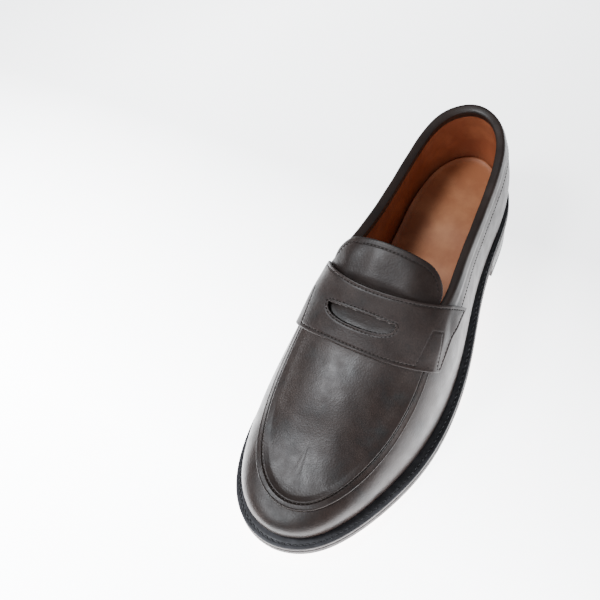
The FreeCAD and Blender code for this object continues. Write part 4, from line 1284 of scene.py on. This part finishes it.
# ---- CAD nodes that stay -----------------------------------------------------------------------
BOARD = ((0.45, 0.38, 0.28), (0.6, 0.52, 0.4), 0.8, 300.0)
CLOTH = ((0.55, 0.5, 0.42), (0.7, 0.65, 0.55), 0.9, 900.0)
HIDDEN = {
    "heel_counter": plain_material("counter_board", *BOARD),
    "toe_puff": plain_material("puff_board", *BOARD),
    "medial_stay": plain_material("stay_cloth_medial", *CLOTH),
    "lateral_stay": plain_material("stay_cloth_lateral", *CLOTH),
    "insole": plain_material("insole_leather", (0.38, 0.22, 0.11), (0.55, 0.36, 0.2), 0.65, 120.0),
    "insole_rib": plain_material("rib_canvas", (0.6, 0.55, 0.45), (0.75, 0.7, 0.6), 0.9, 800.0),
    "cork_filler": plain_material("cork_paste", (0.25, 0.13, 0.06), (0.5, 0.32, 0.18), 0.9, 500.0),
    "shank": plain_material("shank_steel", (0.35, 0.35, 0.37), (0.5, 0.5, 0.53), 0.35, 400.0, 1.0),
    "heel_cushion": plain_material("cushion_foam", (0.65, 0.6, 0.5), (0.8, 0.76, 0.66), 0.95, 700.0),
    "heel_nails": plain_material("nail_brass", (0.55, 0.36, 0.12), (0.72, 0.5, 0.2), 0.3, 300.0, 1.0),
    "inseam_stitching": WELT_THREAD,
}


def dress_hidden_nodes():
    for node, material in HIDDEN.items():
        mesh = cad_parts[node].data
        mesh.materials.clear()
        mesh.materials.append(material)


# ---- stage -------------------------------------------------------------------------------------
MEDIAL_GLOW = 11.0             # the floor's own light beside the shoe's inner side
LATERAL_GLOW = 5.5             # and beside its outer side
TOE_GLOW = 1.2                 # shares of the floor's glow beside the toe and beside the heel
HEEL_GLOW = 0.42
FAR_GLOW = 0.12                # what share of it is left far from the shoe
HORIZON_GLOW = 0.7
OVERHEAD_GLOW = 0.24
TOE_SCREEN = (0.25, -0.96, 0.12)     # a bright screen low down in front of the toe
SCREEN_GLOW = 2.4
FLOOR_COLOUR = (0.965, 0.98, 1.0, 1.0)
SKY_COLOUR = (0.92, 0.96, 1.0, 1.0)


def build_floor():
    """A pale floor that gives light, brightest near the shoe and on its inner side."""
    mesh = bpy.data.meshes.new("floor")
    size = 6.0
    corners = [(-size, -size, 0), (size, -size, 0), (size, size, 0), (-size, size, 0)]
    mesh.from_pydata(corners, [], [(0, 1, 2, 3)])
    material, tree, shader, place = new_material("floor_light_table")
    distance = add_node(tree, "ShaderNodeVectorMath", {0: place}, "Value", operation="LENGTH")
    sideways = add_node(tree, "ShaderNodeSeparateXYZ", {"Vector": place}, "X")
    lengthwise = add_node(tree, "ShaderNodeSeparateXYZ", {"Vector": place}, "Y")
    glow = map_range(tree, distance, 1.0, FAR_GLOW, 0.35, 0.9)
    for share in (map_range(tree, sideways, MEDIAL_GLOW, LATERAL_GLOW, -0.25, 0.2),
                  map_range(tree, lengthwise, TOE_GLOW, HEEL_GLOW, -0.12, 0.12)):
        glow = add_node(tree, "ShaderNodeMath", {0: glow, 1: share}, "Value", operation="MULTIPLY")
    feed(tree, shader, {
        "Base Color": (0.9, 0.9, 0.9, 1.0),
        "Roughness": 0.6,
        "Emission Color": FLOOR_COLOUR,
        "Emission Strength": glow})
    mesh.materials.append(material)
    add_object("floor", mesh)


def build_sky():
    """A soft sky, brighter at the horizon, with the screen in front of the toe."""
    world = bpy.data.worlds.new("studio")
    bpy.context.scene.world = world
    world.use_nodes = True
    tree = world.node_tree
    direction = add_node(tree, "ShaderNodeTexCoord", {}, "Generated")
    height = add_node(tree, "ShaderNodeSeparateXYZ", {"Vector": direction}, "Z")
    overall = map_range(tree, height, HORIZON_GLOW, OVERHEAD_GLOW, 0.0, 0.55)
    ahead = add_node(tree, "ShaderNodeVectorMath", {0: direction, 1: TOE_SCREEN}, "Value",
                     operation="DOT_PRODUCT")
    screen = map_range(tree, ahead, 0.0, SCREEN_GLOW, 0.72, 0.98)
    strength = add_node(tree, "ShaderNodeMath", {0: overall, 1: screen}, "Value", operation="ADD")
    feed(tree, tree.nodes["Background"], {"Color": SKY_COLOUR, "Strength": strength})


def area_light(name, place, target, size, power):
    data = bpy.data.lights.new(name, "AREA")
    data.shape = "RECTANGLE"
    data.size, data.size_y = size
    data.energy = power
    data.color = SKY_COLOUR[:3]
    light = add_object(name, data)
    light.location = place
    light.rotation_euler = (Vector(target) - Vector(place)).to_track_quat("-Z", "Y").to_euler()


CAMERA_PLACE = (0.2033, -0.3148, 0.6269)
CAMERA_AZIMUTH = -38.52
CAMERA_DIP = 53.62
CAMERA_ROLL = 12.53
CAMERA_LENS = 66.6
CAMERA_SHIFT = (-0.0206, -0.0696)


def build_camera():
    azimuth, dip, roll = (math.radians(a) for a in (CAMERA_AZIMUTH, CAMERA_DIP, CAMERA_ROLL))
    reach = math.cos(dip)
    forward = Vector((math.sin(azimuth) * reach, math.cos(azimuth) * reach, -math.sin(dip)))
    level = Vector((math.cos(azimuth), -math.sin(azimuth), 0.0))
    down = forward.cross(level)
    right = level * math.cos(roll) + down * math.sin(roll)
    up = level * math.sin(roll) - down * math.cos(roll)
    data = bpy.data.cameras.new("camera")
    data.lens = CAMERA_LENS
    data.sensor_width = 36.0
    data.shift_x, data.shift_y = CAMERA_SHIFT
    camera = add_object("camera", data)
    camera.matrix_world = Matrix((
        (right.x, up.x, -forward.x, CAMERA_PLACE[0]),
        (right.y, up.y, -forward.y, CAMERA_PLACE[1]),
        (right.z, up.z, -forward.z, CAMERA_PLACE[2]),
        (0.0, 0.0, 0.0, 1.0)))
    bpy.context.scene.camera = camera


def main():
    build_floor()
    build_sky()
    area_light("apron_softbox", (-0.56, -0.46, 1.4), (0.0, -0.08, 0.05), (0.42, 0.38), 19.0)
    build_camera()
    build_skirt()
    build_apron()
    build_strap()
    build_tongue()
    build_collar()
    build_back_strip()
    build_quarter_lining()
    build_vamp_lining()
    build_sock()
    build_welt()
    build_outsole()
    build_heel()
    rows = {
        "apron_stitching": [apron_seam_path()],
        "strap_stitching": [strap_stitch_row(), slot_stitch_row()],
        "tongue_stitching": [tongue_stitch_row()],
        "collar_stitching": [collar_stitch_row()],
        "back_strip_stitching": back_strip_rows(),
    }
    for node, paths in rows.items():
        piece = stitch_mesh(node + "_threads", paths, UPPER_PITCH, UPPER_PITCH * 0.78)
        finish_piece(piece, [node], "upper_thread", UPPER_THREAD)
    piece = stitch_mesh("welt_threads", [welt_stitch_row()], WELT_PITCH, WELT_PITCH * 0.8, 0.5, 0.35, 0.25)
    finish_piece(piece, ["welt_stitching"], "sole_thread", WELT_THREAD)
    dress_hidden_nodes()


main()
